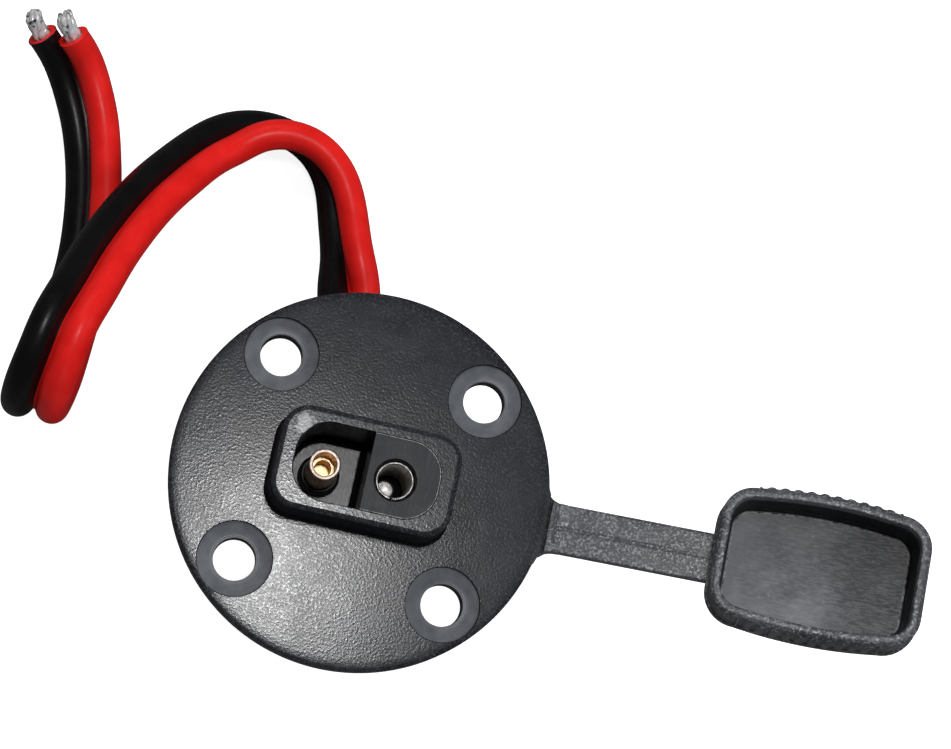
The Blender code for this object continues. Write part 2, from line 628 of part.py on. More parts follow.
def build_relief(parts, cutters):
    """A tapered oval sleeve with raised rings, its shank in the gland's pocket."""
    length, width = relief_size(RELIEF_WALL)
    total = RELIEF_SHANK + RELIEF_LENGTH
    relief = block("strain_relief", parts, length, width, 0.0, total, width * OVAL_CORNER,
                   top_edge=RELIEF_WALL / 2, corner_segments=6, edge_segments=2)
    along_exit(relief, GLAND_REACH - RELIEF_SHANK)
    pitch = (RELIEF_LENGTH - 2 * RELIEF_RING_WIDTH) / (RELIEF_RINGS - 1)
    for number in range(RELIEF_RINGS):
        start = RELIEF_SHANK + GAP + number * pitch
        proud = RELIEF_RING_PROUD - RELIEF_TAPER * number / (RELIEF_RINGS - 1)
        ring = block(f"relief_ring_{number}", cutters, length + 2 * proud, width + 2 * proud, start,
                     start + RELIEF_RING_WIDTH, width * OVAL_CORNER, corner_segments=6)
        along_exit(ring, GLAND_REACH - RELIEF_SHANK)
        combine(relief, ring, "UNION")
    hole_length, hole_width = relief_size(0.0)
    hole = block("relief_hole", cutters, hole_length, hole_width, -GAP, total + GAP,
                 hole_width * OVAL_CORNER, corner_segments=6)
    along_exit(hole, GLAND_REACH - RELIEF_SHANK)
    combine(relief, hole, "DIFFERENCE")
    return dress(relief, "relief_pvc")


def build_wire(parts, name, finish, line):
    wire = tube(name, parts, line, WIRE_RADIUS)
    wire.data.materials.append(make_material(finish))
    return wire


def build_strands(parts, name, line):
    """The stripped end: one twisted, lobed bundle that tapers to its trimmed tip."""
    end = Vector(line[-1])
    heading = (end - Vector(line[-2])).normalized()
    layers = [(GAP, 1.0)] + [(STRAND_LENGTH * share, scale) for share, scale in STRAND_LAYERS]
    count = STRAND_LOBES * 4
    bm = bmesh.new()
    rings = []
    for height, scale in layers:
        twist = STRAND_TWIST * height / STRAND_LENGTH
        ring = []
        for i in range(count):
            angle = 2 * math.pi * i / count
            lobe = STRAND_LOBE_DEPTH / 2 * (1 - math.cos(STRAND_LOBES * angle))
            radius = (STRAND_RADIUS - lobe) * scale
            ring.append(bm.verts.new((radius * math.cos(angle + twist), radius * math.sin(angle + twist),
                                      height)))
        rings.append(ring)
    for low, high in zip(rings, rings[1:]):
        for i in range(count):
            j = (i + 1) % count
            bm.faces.new((low[i], low[j], high[j], high[i]))
    bm.faces.new(list(reversed(rings[0])))
    bm.faces.new(rings[-1])
    strands = mesh_object(name, bm, parts)
    turn = Vector((0.0, 0.0, 1.0)).rotation_difference(heading).to_matrix().to_4x4()
    strands.matrix_world = Matrix.Translation(end) @ turn
    return dress(strands, "tinned_strands")


def strap_bar(name, collection, start, end, cutters):
    """A flat bar with softened long edges and a shallow groove along the middle of its face."""
    bar = block(name, collection, end - start, STRAP_WIDTH, STRAP_Z - STRAP_THICKNESS / 2,
                STRAP_Z + STRAP_THICKNESS / 2, centre=((start + end) / 2, STRAP_Y))
    bm = bmesh.new()
    bm.from_mesh(bar.data)
    long_edges = [e for e in bm.edges if abs(e.verts[0].co.x - e.verts[1].co.x) > (end - start) / 2]
    bmesh.ops.bevel(bm, geom=long_edges, offset=STRAP_EDGE, segments=2, affect="EDGES", profile=0.5)
    bm.to_mesh(bar.data)
    bm.free()
    groove = block(f"{name}_groove", cutters, end - start + GAP * 2, STRAP_GROOVE, -STRAP_GROOVE / 2,
                   STRAP_GROOVE / 2)
    height = STRAP_Z + STRAP_THICKNESS / 2 + STRAP_GROOVE / math.sqrt(2) - STRAP_GROOVE_DEPTH
    middle = Vector(((start + end) / 2, STRAP_Y, height))
    groove.matrix_world = Matrix.Translation(middle) @ Matrix.Rotation(math.pi / 4, 4, "X")
    combine(bar, groove, "DIFFERENCE")
    return bar


def hinge_roll(name, collection, x, radius, width):
    """A round bar across the strap, centred on a joint's axis."""
    profile = [(0.0, width / 2), (radius, width / 2), (radius, -width / 2), (0.0, -width / 2)]
    roll = turned(name, collection, profile, 16)
    roll.matrix_world = Matrix.Translation((x, STRAP_Y, STRAP_Z)) @ Matrix.Rotation(math.pi / 2, 4, "X")
    return roll


def build_strap_inner(parts, cutters):
    half = STRAP_THICKNESS / 2
    start = ROOT_HINGE_X + WEB_LENGTH
    end = BEND_HINGE_X - half - GAP
    strap = strap_bar("strap_inner", parts, start, end, cutters)
    web = block("root_web", cutters, WEB_LENGTH * 2, STRAP_WIDTH, STRAP_Z - WEB_THICKNESS / 2,
                STRAP_Z + WEB_THICKNESS / 2, centre=(ROOT_HINGE_X + WEB_LENGTH, STRAP_Y))
    combine(strap, web, "UNION")
    roll = hinge_roll("root_roll", cutters, ROOT_HINGE_X, WEB_THICKNESS / 2, STRAP_WIDTH)
    combine(strap, roll, "UNION")
    return dress(strap, "strap_pvc")


def cap_outline(length, width, corner, bulge, corner_steps=6, side_steps=8):
    """A rounded rectangle whose two long sides swell outwards in the middle."""
    reach = length / 2 - corner
    half = width / 2
    points = []
    for turn in range(4):
        start = turn * 90
        cx = reach if turn in (0, 3) else -reach
        cy = (half - corner) if turn in (0, 1) else (corner - half)
        points += arc(cx, cy, corner, start, start + 90, corner_steps)
        if turn in (0, 2):
            sign = 1.0 if turn == 0 else -1.0
            for i in range(1, side_steps):
                x = sign * reach * (1 - 2 * i / side_steps)
                points.append((x, sign * (half + bulge * (1 - (x / reach) ** 2))))
    return points


def cap_side(x):
    """How far the cap's long side stands from its middle line."""
    reach = CAP_LENGTH / 2 - CAP_CORNER
    return CAP_WIDTH / 2 + CAP_BULGE * max(0.0, 1 - (x / reach) ** 2)


def ribbed_outline():
    """The cap's plan through its grip ribs: half-round ribs along both long sides."""
    reach = CAP_LENGTH / 2 - CAP_CORNER
    upper = []
    for number in range(CAP_RIBS):
        x = CAP_RIB_PITCH * ((CAP_RIBS - 1) / 2 - number)
        base = cap_side(min(abs(x), reach)) - CAP_RIB_INSET
        upper += [(x + px, base + py) for px, py in arc(0.0, 0.0, CAP_RIB_RADIUS, 0, 180, 4)]
    lower = [(-x, -y) for x, y in upper]
    return upper + lower


def shifted(outline, x):
    return [(px + x, py) for px, py in outline]


def build_cap(parts, cutters):
    half = STRAP_THICKNESS / 2
    wall_x = CAP_X - CAP_LENGTH / 2
    cap = strap_bar("dust_cap", parts, BEND_HINGE_X, wall_x + CAP_WALL / 2, cutters)
    roll = hinge_roll("bend_roll", cutters, BEND_HINGE_X, half, STRAP_WIDTH)
    combine(cap, roll, "UNION")

    shell = flat_outline("cap_shell", cutters,
                         shifted(cap_outline(CAP_LENGTH, CAP_WIDTH, CAP_CORNER, CAP_BULGE), CAP_X),
                         CAP_BASE_Z, CAP_RIM_Z)
    bm = bmesh.new()
    bm.from_mesh(shell.data)
    for side in (1.0, -1.0):
        cover = [f for f in bm.faces if f.normal.z * side > 0.99]
        bmesh.ops.dissolve_faces(bm, faces=cover)
    low = min(v.co.z for v in bm.verts)
    high = max(v.co.z for v in bm.verts)
    for level, size, steps in ((low, CAP_BASE_EDGE, 3), (high, CAP_RIM_EDGE, 2)):
        rim = [e for e in bm.edges if all(abs(v.co.z - level) < WELD for v in e.verts) and any(
            abs(f.normal.z) < 0.5 for f in e.link_faces)]
        bmesh.ops.bevel(bm, geom=rim, offset=size, segments=steps, affect="EDGES", profile=0.5)
    bm.to_mesh(shell.data)
    bm.free()
    combine(cap, shell, "UNION")

    ribs = flat_outline("cap_ribs", cutters, shifted(ribbed_outline(), CAP_X),
                        CAP_BASE_Z + CAP_FOOT_BAND, CAP_RIM_Z - CAP_RIM_BAND)
    combine(cap, ribs, "UNION")

    cavity = flat_outline("cap_cavity", cutters,
                          shifted(cap_outline(CAP_INNER_LENGTH, CAP_INNER_WIDTH, CAP_INNER_CORNER,
                                              CAP_BULGE), CAP_X),
                          CAP_BASE_Z + CAP_FLOOR, CAP_RIM_Z + GAP)
    combine(cap, cavity, "DIFFERENCE")
    return dress(cap, "cap_pvc")


def hang_on(obj, name, place, parent, collection):
    """An empty on the joint's axis carries the piece and what shapes it, all still where they were built."""
    hinge = bpy.data.objects.new(name, None)
    hinge.empty_display_size = 4 * MM
    hinge.matrix_world = Matrix.Translation(place)
    collection.objects.link(hinge)
    bpy.context.view_layer.update()
    if parent is not None:
        hinge.parent = parent
        hinge.matrix_parent_inverse = parent.matrix_world.inverted()
    bpy.context.view_layer.update()
    for piece in [obj] + [modifier.object for modifier in obj.modifiers]:
        piece.parent = hinge
        piece.matrix_parent_inverse = hinge.matrix_world.inverted()
    return hinge


def main():
    clear_scene()
    parts = new_collection("sae_connector_port")
    cutters = new_collection("cutters")
    cutters.hide_render = True

    build_flange(parts, cutters)
    build_insert(parts, cutters)
    build_pin(parts, cutters)
    build_socket(parts, cutters)
    build_relief(parts, cutters)

    black = wire_line(PIN_X, 1, BLACK_END_LEAD)
    red = wire_line(SOCKET_X, -1, 0.0)
    build_wire(parts, "black_wire", "black_insulation", black)
    build_wire(parts, "red_wire", "red_insulation", red)
    build_strands(parts, "black_strands", black)
    build_strands(parts, "red_strands", red)

    strap = build_strap_inner(parts, cutters)
    cap = build_cap(parts, cutters)
    root = hang_on(strap, "strap_root_hinge", (ROOT_HINGE_X, 0.0, STRAP_Z), None, parts)
    hang_on(cap, "strap_bend_hinge", (BEND_HINGE_X, 0.0, STRAP_Z), root, parts)
    root.rotation_euler = (0.0, -REST_TILT, 0.0)
    bpy.context.view_layer.update()


main()
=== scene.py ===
import math

import bpy
import numpy as np
from mathutils import Matrix, Vector


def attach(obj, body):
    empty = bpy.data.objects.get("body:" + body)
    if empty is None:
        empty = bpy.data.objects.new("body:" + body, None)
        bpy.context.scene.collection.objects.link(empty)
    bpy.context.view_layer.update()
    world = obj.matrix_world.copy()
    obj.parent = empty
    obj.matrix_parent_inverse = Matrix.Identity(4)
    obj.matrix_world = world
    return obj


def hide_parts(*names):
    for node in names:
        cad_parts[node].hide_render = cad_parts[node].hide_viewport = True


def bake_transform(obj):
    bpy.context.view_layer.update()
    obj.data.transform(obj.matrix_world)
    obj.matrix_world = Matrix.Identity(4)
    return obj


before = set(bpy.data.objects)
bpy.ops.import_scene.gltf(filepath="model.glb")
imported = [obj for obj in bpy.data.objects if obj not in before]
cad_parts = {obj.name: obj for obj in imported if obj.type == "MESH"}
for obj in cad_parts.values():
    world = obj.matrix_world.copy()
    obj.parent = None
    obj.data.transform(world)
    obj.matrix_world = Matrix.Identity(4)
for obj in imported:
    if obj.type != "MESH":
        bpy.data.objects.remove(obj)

MM = 0.001

# Sizes in millimetres, as the source of the part has them
FLANGE_RADIUS = 30.0
FACE_Z = 24.0
BACK_Z = 20.0
BARREL_RADIUS = 17.0
BARREL_EDGE = 0.9
BARREL_ROOT = 1.0
FLANGE_EDGE = 0.7
BOSS_Z = 33.0
BOSS_LENGTH = 28.6
BOSS_WIDTH = 16.6
BOSS_CORNER = 4.4
BOSS_EDGE = 0.9
BOSS_DRAFT = 0.2
BOSS_ROOT = 0.5
SCREW_OFFSET = 16.497
DISH_RADIUS = 5.84
HOLE_RADIUS = 3.3
RECESS_LENGTH = 22.6
RECESS_WIDTH = 12.2
RECESS_CORNER = 5.2
RECESS_EDGE = 0.16
SEAT_Z = 15.8
LAND_Z = 19.5
INSERT_BOTTOM_Z = 16.1
PIN_X = -6.5
SOCKET_X = 4.5
TERMINAL_Y = -0.5
CABLE_Z = 6.0
EXIT_ANGLE = math.radians(103.0)
GLAND_REACH = 18.6
GLAND_SIZE = (18.0, 11.4, 2.0)
RELIEF_SHANK = 5.0
RELIEF_LENGTH = 13.0
RELIEF_WALL = 0.9
RELIEF_RINGS = 4
RING_PROUD = 0.8
RING_TAPER = 0.5
WIRE_RADIUS = 2.55
WIRE_SPACING = 5.5
WIRE_CLEARANCE = 0.3
OVAL_CORNER = 0.495
BLACK_END_LEAD = 1.6
CRIMP_LENGTH = 8.0
CRIMP_RADIUS = 2.3
POST_RADIUS = 1.9
POST_FOOT_Z = 4.1
PIN_RADIUS = 2.45
SLEEVE_RADIUS = 3.0
STRAND_LENGTH = 4.6
STRAP_Y = -0.6
STRAP_Z = 22.4
STRAP_HALF_WIDTH = 4.0
STRAP_HALF_THICKNESS = 0.8
STRAP_SEAM_X = 36.5
STRAP_END_X = 57.3
ROOT_HINGE_X = 30.8
REST_TILT = math.radians(12.0)
CAP_X = 73.1
CAP_LENGTH = 32.4
CAP_WIDTH = 20.4
CAP_CORNER = 5.0
CAP_BULGE = 0.8
CAP_INNER_LENGTH = 29.2
CAP_INNER_WIDTH = 17.2
CAP_INNER_CORNER = 3.6
CAP_BASE_Z = 21.0
CAP_FLOOR_Z = 22.6
CAP_RIM_Z = 32.0
CAP_RIBS = 12
CAP_RIB_PITCH = 2.05
CAP_RIB_HEIGHT = 0.4

# The pair's middle line and the way from the red conductor to the black one, as in the source
PAIR_ROUTE = [
    (-5.4, 23.4, 6.0, -0.97, -0.22, 0.0),
    (-7.1, 30.9, 5.9, -0.97, -0.22, 0.0),
    (-9.3, 39.3, 5.3, -0.66, -0.08, -0.75),
    (-11.3, 45.5, 5.0, -0.54, -0.07, -0.84),
    (-13.7, 51.2, 5.2, -0.35, -0.10, -0.93),
    (-17.8, 55.6, 5.4, -0.05, -0.02, -1.00),
    (-23.3, 57.5, 5.5, 0.11, 0.30, -0.95),
    (-28.8, 56.6, 5.9, -0.08, 0.65, -0.76),
    (-33.0, 53.8, 6.8, -0.43, 0.75, -0.50),
    (-36.1, 50.5, 8.2, -0.62, 0.62, -0.47),
    (-39.5, 45.4, 10.6, -0.68, 0.57, -0.42),
    (-42.5, 39.9, 13.5, -0.74, 0.54, -0.40),
    (-45.3, 32.9, 17.0, -0.80, 0.46, -0.37),
    (-47.5, 25.4, 21.0, -0.86, 0.40, -0.32),
    (-48.8, 19.2, 24.3, -0.90, 0.34, -0.26),
    (-50.2, 13.4, 26.0, -0.93, 0.28, -0.20),
    (-51.1, 7.9, 25.0, -0.96, 0.20, -0.12),
    (-51.9, 4.1, 22.1, -0.98, 0.12, -0.08),
    (-52.5, 1.7, 16.9, -1.00, 0.0, -0.05),
    (-52.6, 2.2, 11.2, -0.99, 0.0, -0.10),
    (-52.3, 5.3, 6.8, -0.97, 0.0, -0.20),
    (-51.9, 9.5, 4.6, -0.94, 0.0, -0.32),
    (-51.6, 14.6, 4.1, -0.90, 0.0, -0.42),
    (-51.2, 21.6, 4.2, -0.85, 0.0, -0.50),
    (-51.2, 28.5, 4.3, -0.80, 0.0, -0.58),
    (-51.9, 35.4, 4.3, -0.78, -0.03, -0.62),
    (-53.0, 41.5, 4.4, -0.77, -0.06, -0.63),
    (-54.4, 46.8, 4.6, -0.77, -0.12, -0.62),
    (-56.1, 51.7, 5.2, -0.78, -0.20, -0.58),
    (-58.2, 56.0, 6.3, -0.79, -0.22, -0.55),
    (-60.4, 59.5, 8.0, -0.82, -0.18, -0.50),
    (-62.2, 61.4, 9.9, -0.85, -0.12, -0.47),
    (-63.4, 62.3, 11.2, -0.86, -0.08, -0.45),
]

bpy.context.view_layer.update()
collection = bpy.context.scene.collection


# Camera

CAMERA_LENS = 82.73
CAMERA_PLACE = Vector((-21.86, -54.12, 361.46))
CAMERA_AHEAD = Vector((0.10357, 0.21448, -0.97122)).normalized()
CAMERA_UP = Vector((-0.22730, 0.95574, 0.18682)).normalized()


def add_camera():
    data = bpy.data.cameras.new("camera")
    data.lens = CAMERA_LENS
    data.sensor_width = 36.0
    data.clip_start = 0.02
    data.clip_end = 20.0
    camera = bpy.data.objects.new("camera", data)
    collection.objects.link(camera)
    right = CAMERA_AHEAD.cross(CAMERA_UP).normalized()
    turn = Matrix((right, right.cross(CAMERA_AHEAD), -CAMERA_AHEAD)).transposed().to_4x4()
    camera.matrix_world = Matrix.Translation(CAMERA_PLACE * MM) @ turn
    bpy.context.scene.camera = camera


add_camera()


# Shader graphs

class Graph:
    """A Principled material whose detail comes from nodes in the piece's own coordinates."""

    def __init__(self, name, **sockets):
        self.material = bpy.data.materials.new(name)
        self.material.use_nodes = True
        self.tree = self.material.node_tree
        self.shader = self.tree.nodes["Principled BSDF"]
        self.place = self.tree.nodes.new("ShaderNodeTexCoord").outputs["Object"]
        for socket, value in sockets.items():
            self.set(socket.replace("_", " "), value)

    def feed(self, target, value):
        if isinstance(value, bpy.types.NodeSocket):
            self.tree.links.new(value, target)
        else:
            target.default_value = value

    def set(self, socket, value):
        self.feed(self.shader.inputs[socket], value)

    def noise(self, size_mm, detail=2.0, roughness=0.5, stretch=None, distortion=0.0):
        where = self.place
        if stretch is not None:
            mapping = self.tree.nodes.new("ShaderNodeMapping")
            self.tree.links.new(where, mapping.inputs["Vector"])
            mapping.inputs["Scale"].default_value = stretch
            where = mapping.outputs["Vector"]
        node = self.tree.nodes.new("ShaderNodeTexNoise")
        self.tree.links.new(where, node.inputs["Vector"])
        node.inputs["Scale"].default_value = 1.0 / (size_mm * MM)
        node.inputs["Detail"].default_value = detail
        node.inputs["Roughness"].default_value = roughness
        node.inputs["Distortion"].default_value = distortion
        return node.outputs["Fac"]

    def span(self, value, low, high, start=0.0, end=1.0, smooth=False):
        node = self.tree.nodes.new("ShaderNodeMapRange")
        node.interpolation_type = "SMOOTHSTEP" if smooth else "LINEAR"
        self.tree.links.new(value, node.inputs["Value"])
        for socket, number in (("From Min", low), ("From Max", high), ("To Min", start), ("To Max", end)):
            node.inputs[socket].default_value = number
        return node.outputs["Result"]

    def math(self, operation, first, second=0.0, third=0.0):
        node = self.tree.nodes.new("ShaderNodeMath")
        node.operation = operation
        self.feed(node.inputs[0], first)
        self.feed(node.inputs[1], second)
        self.feed(node.inputs[2], third)
        return node.outputs["Value"]

    def mix(self, factor, first, second, blend="MIX"):
        node = self.tree.nodes.new("ShaderNodeMix")
        node.data_type = "RGBA"
        node.blend_type = blend
        self.feed(node.inputs[0], factor)
        self.feed(node.inputs[6], first if not isinstance(first, tuple) else (*first, 1.0))
        self.feed(node.inputs[7], second if not isinstance(second, tuple) else (*second, 1.0))
        return node.outputs[2]

    def axes(self):
        node = self.tree.nodes.new("ShaderNodeSeparateXYZ")
        self.tree.links.new(self.place, node.inputs[0])
        return node.outputs["X"], node.outputs["Y"]

    def reach(self, across, along):
        squares = [self.math("MULTIPLY", way, way) for way in (across, along)]
        return self.math("SQRT", self.math("ADD", *squares))

    def bump(self, height, distance_mm, strength=1.0, under=None):
        node = self.tree.nodes.new("ShaderNodeBump")
        node.inputs["Strength"].default_value = strength
        node.inputs["Distance"].default_value = distance_mm * MM
        self.tree.links.new(height, node.inputs["Height"])
        if under is not None:
            self.tree.links.new(under, node.inputs["Normal"])
        return node.outputs["Normal"]


def grained(name, speck_sparkle, depth, low, high, smooth, rough):
    """Spark-eroded moulding: dense little proud specks, smoother than the ground between them and painted
    lighter, partly real grain and partly painted sparkle.
    """
    g = Graph(name)
    fine = g.noise(0.40, 1.2, 0.6)
    patch = g.noise(1.3, 2.0, 0.6)
    specks = g.span(fine, 0.46, 0.66, 0.0, 1.0, True)
    strong = g.span(patch, 0.34, 0.62, 0.25, 1.0)
    specks = g.math("MULTIPLY", specks, strong)
    tone = g.mix(g.span(g.noise(7.5, 3.0, 0.62, distortion=0.7), 0.36, 0.66), low, high)
    # Painted sparkle: the specks' pale colour stands in for part of the glints they catch
    g.set("Base Color", g.mix(specks, tone, speck_sparkle))
    cloud = g.span(g.noise(8.0, 3.0, 0.62, distortion=0.6), 0.34, 0.66, 0.02, -0.02)
    g.set("Roughness", g.math("ADD", g.span(specks, 0.0, 0.8, rough, smooth), cloud))
    normal = g.bump(patch, depth * 0.5, 0.6)
    g.set("Normal", g.bump(fine, depth, 0.8, normal))
    return g


def near(g, x0, y0, radius):
    """One at a place on the upper face and nought beyond the radius, with an uneven edge."""
    x, y = g.axes()
    away = g.reach(g.math("SUBTRACT", x, x0 * MM), g.math("SUBTRACT", y, y0 * MM))
    ragged = g.math("ADD", away, g.span(g.noise(0.9, 3.0, 0.7), 0.3, 0.7, -1.1 * MM, 1.1 * MM))
    return g.span(ragged, 0.4 * radius * MM, radius * MM, 1.0, 0.0, True)


def plain(name, tone, ends, colours, rough, bump, wear=None, lumps=None, **sockets):
    """Noises for the colour, the roughness and the bump; each is the one before it if it isn't given."""
    wear = wear or tone
    lumps = lumps or wear
    g = Graph(name, **sockets)
    g.set("Base Color", g.mix(g.span(g.noise(*tone), *ends), *colours))
    g.set("Roughness", g.span(g.noise(*wear), 0.3, 0.7, *rough))
    g.set("Normal", g.bump(g.noise(*lumps), *bump))
    return g.material


def grained_pvc():
    """The flange's grain: dark charcoal that sparkles in its sheen, worn at one corner of the boss and
    painted pale there as a highlight.
    """
    g = grained("grained_pvc", (0.055, 0.057, 0.064), 0.022, (0.0120, 0.0127, 0.0160),
                (0.0225, 0.0240, 0.0290), 0.12, 0.21)
    # Painted highlight: a pale patch on the worn corner of the boss
    rubbed_highlight = near(g, -10.9, 5.1, 1.7)
    base = g.shader.inputs["Base Color"].links[0].from_socket
    g.set("Base Color", g.mix(g.math("MULTIPLY", rubbed_highlight, 0.8), base, (0.36, 0.36, 0.37)))
    return g.material


def dish_pvc():
    """The smooth satin of the screw dishes, with fine rings turned round each hole."""
    g = Graph("dish_pvc")
    away = g.reach(*[g.math("SUBTRACT", g.math("ABSOLUTE", way), SCREW_OFFSET * MM) for way in g.axes()])
    rings = g.math("SINE", g.math("MULTIPLY", away, 2 * math.pi / (0.36 * MM)))
    soft = g.noise(2.2, 2.0, 0.5)
    fine = g.noise(0.3, 2.0, 0.5)
    g.set("Base Color", g.mix(g.span(soft, 0.3, 0.7), (0.095, 0.100, 0.111), (0.135, 0.142, 0.155)))
    g.set("Roughness", g.math("ADD", g.span(soft, 0.3, 0.7, 0.28, 0.36), g.span(rings, -1.0, 1.0, 0.0, 0.05)))
    normal = g.bump(rings, 0.008, 0.7)
    g.set("Normal", g.bump(fine, 0.012, 0.5, normal))
    return g.material


def insert_nylon():
    """Satin black of the insert: fine drag lines across it and a few pale rubs."""
    g = Graph("insert_nylon_dressed", Specular_IOR_Level=0.4)
    drag = g.noise(0.42, 3.0, 0.6, (1.0, 0.08, 1.0))
    rub = g.noise(3.5, 3.0, 0.6, distortion=0.4)
    fine = g.noise(0.25, 2.0, 0.5)
    base = g.mix(g.span(rub, 0.35, 0.7), (0.012, 0.0130, 0.016), (0.024, 0.0255, 0.031))
    base = g.mix(g.span(drag, 0.55, 0.8), base, (0.050, 0.052, 0.058))
    g.set("Base Color", base)
    g.set("Roughness", g.math("ADD", g.span(rub, 0.3, 0.7, 0.34, 0.46), g.span(fine, 0.3, 0.7, -0.03, 0.03)))
    normal = g.bump(drag, 0.010, 0.6)
    g.set("Normal", g.bump(fine, 0.012, 0.5, normal))
    return g.material


def land_nylon():
    """The land round the pin: grey with scuffs and with drag lines that run to the slot; its paleness is
    partly painted sheen, which grows towards the slot.
    """
    g = Graph("land_nylon")
    drag = g.noise(0.30, 3.0, 0.65, (1.0, 0.25, 1.0))
    rub = g.noise(2.5, 3.0, 0.6, distortion=0.4)
    fine = g.noise(0.25, 2.0, 0.5)
    x, y = g.axes()
    # Painted sheen: the land grows lighter towards the slot (+x), added to its scuffs
    scuff_and_sheen = g.math("ADD", g.span(x, -8.5 * MM, -1.5 * MM, -0.25, 0.55), g.span(rub, 0.3, 0.7))
    base = g.mix(g.span(scuff_and_sheen, 0.2, 1.2), (0.060, 0.063, 0.072), (0.34, 0.345, 0.36))
    g.set("Base Color", g.mix(g.span(drag, 0.48, 0.70, 0.0, 0.8), base, (0.60, 0.60, 0.61)))
    g.set("Roughness", g.math("ADD", g.span(rub, 0.3, 0.7, 0.26, 0.34), g.span(fine, 0.3, 0.7, -0.04, 0.04)))
    normal = g.bump(drag, 0.012, 0.6)
    g.set("Normal", g.bump(fine, 0.012, 0.5, normal))
    return g.material


def brass():
    g = Graph("brass_dressed", Metallic=1.0)
    turned = g.noise(0.35, 2.0, 0.6, (0.15, 0.15, 2.0))
    stain = g.noise(1.1, 3.0, 0.6)
    g.set("Base Color", g.mix(g.span(stain, 0.35, 0.7), (0.74, 0.43, 0.13), (0.46, 0.24, 0.06)))
    rough = g.math("ADD", g.span(stain, 0.3, 0.7, 0.24, 0.36), g.span(turned, 0.3, 0.7, -0.03, 0.05))
    g.set("Roughness", rough)
    g.set("Normal", g.bump(turned, 0.008, 0.5))
    return g.material


def insulation(name, dark, light, roughness):
    """Glossy cable insulation: slightly wavy, with a little dust and fine scuffs."""
    g = Graph(name, Specular_IOR_Level=0.4, Coat_Weight=0.10, Coat_Roughness=0.24)
    wave = g.noise(4.0, 2.0, 0.5)
    scuff = g.noise(0.9, 3.0, 0.6)
    fine = g.noise(0.25, 2.0, 0.5)
    g.set("Base Color", g.mix(g.span(wave, 0.3, 0.7), dark, light))
    g.set("Roughness", g.math("ADD", g.span(scuff, 0.35, 0.75, roughness, roughness + 0.12),
                              g.span(fine, 0.3, 0.7, -0.02, 0.02)))
    normal = g.bump(wave, 0.06, 0.5)
    g.set("Normal", g.bump(fine, 0.006, 0.4, normal))
    return g.material


def solder():
    """Tinned strands: bright lumps, with painted shade in dark patches between them, as in crevices."""
    g = Graph("tinned_strands_dressed", Metallic=0.55)
    lump = g.noise(0.70, 3.0, 0.6)
    # Painted shade: dark patches that stand in for the shade in crevices
    crevice_shade = g.span(g.noise(0.9, 2.0, 0.5), 0.30, 0.46)
    g.set("Base Color", g.mix(crevice_shade, (0.05, 0.045, 0.04), (0.96, 0.96, 0.97)))
    g.set("Roughness", g.span(lump, 0.3, 0.7, 0.20, 0.42))
    g.set("Normal", g.bump(lump, 0.10, 0.8))
    return g.material


def cap_floor():
    """The cap's smooth floor: bluish grey, clouded, painted lighter towards low x and low y as sheen, with
    fine scratches that run mostly along it.
    """
    g = Graph("cap_floor")
    drag = g.noise(0.30, 4.0, 0.8, (0.05, 1.0, 1.0))
    cross = g.noise(0.40, 3.0, 0.6, (1.0, 0.07, 1.0))
    soft = g.noise(9.0, 3.0, 0.6, distortion=0.5)
    x, y = g.axes()
    # Painted sheen: the floor is lighter towards low x and towards low y
    side = g.span(x, 60.0 * MM, 87.0 * MM, 0.66, -0.16)
    side = g.math("ADD", side, g.span(y, -8.0 * MM, 8.0 * MM, 0.34, 0.0))
    cloud = g.math("ADD", side, g.span(soft, 0.3, 0.7, -0.22, 0.28))
    base = g.mix(g.span(cloud, 0.0, 1.0), (0.012, 0.014, 0.019), (0.125, 0.131, 0.147))
    base = g.mix(g.span(drag, 0.44, 0.64, 0.0, 0.7), base, (0.150, 0.157, 0.175))
    base = g.mix(g.span(cross, 0.60, 0.80, 0.0, 0.35), base, (0.110, 0.115, 0.130))
    base = g.mix(g.span(g.noise(0.8, 1.0, 0.5), 0.70, 0.80, 0.0, 0.5), base, (0.22, 0.225, 0.24))
    g.set("Base Color", base)
    g.set("Roughness", g.math("ADD", g.span(soft, 0.3, 0.7, 0.42, 0.34), g.span(drag, 0.3, 0.7, 0.04, -0.05)))
    normal = g.bump(drag, 0.010, 0.6)
    g.set("Normal", g.bump(cross, 0.004, 0.4, normal))
    return g.material


# The spans of a noise over which a colour goes from its first to its second tone
EVEN = (0.3, 0.7)
UPPER = (0.35, 0.7)

GRAIN = grained_pvc()
DISH = dish_pvc()
INSERT = insert_nylon()
LAND = land_nylon()
BRASS = brass()
SOLDER = solder()
CAP_FLOOR = cap_floor()
BLACK = insulation("black_insulation_dressed", (0.002, 0.002, 0.0025), (0.004, 0.004, 0.0045), 0.28)
RED = insulation("red_insulation_dressed", (0.68, 0.010, 0.008), (0.80, 0.016, 0.013), 0.34)

# The strap's grain is paler than the flange's, as painted sheen
STRAP = grained("strap_pvc_dressed", (0.27, 0.275, 0.29), 0.030, (0.042, 0.043, 0.049), (0.080, 0.082, 0.091),
                0.22, 0.34).material
CAP_GRAIN = grained("cap_grain", (0.21, 0.215, 0.23), 0.026, (0.036, 0.037, 0.043), (0.068, 0.070, 0.078),
                    0.24, 0.36).material

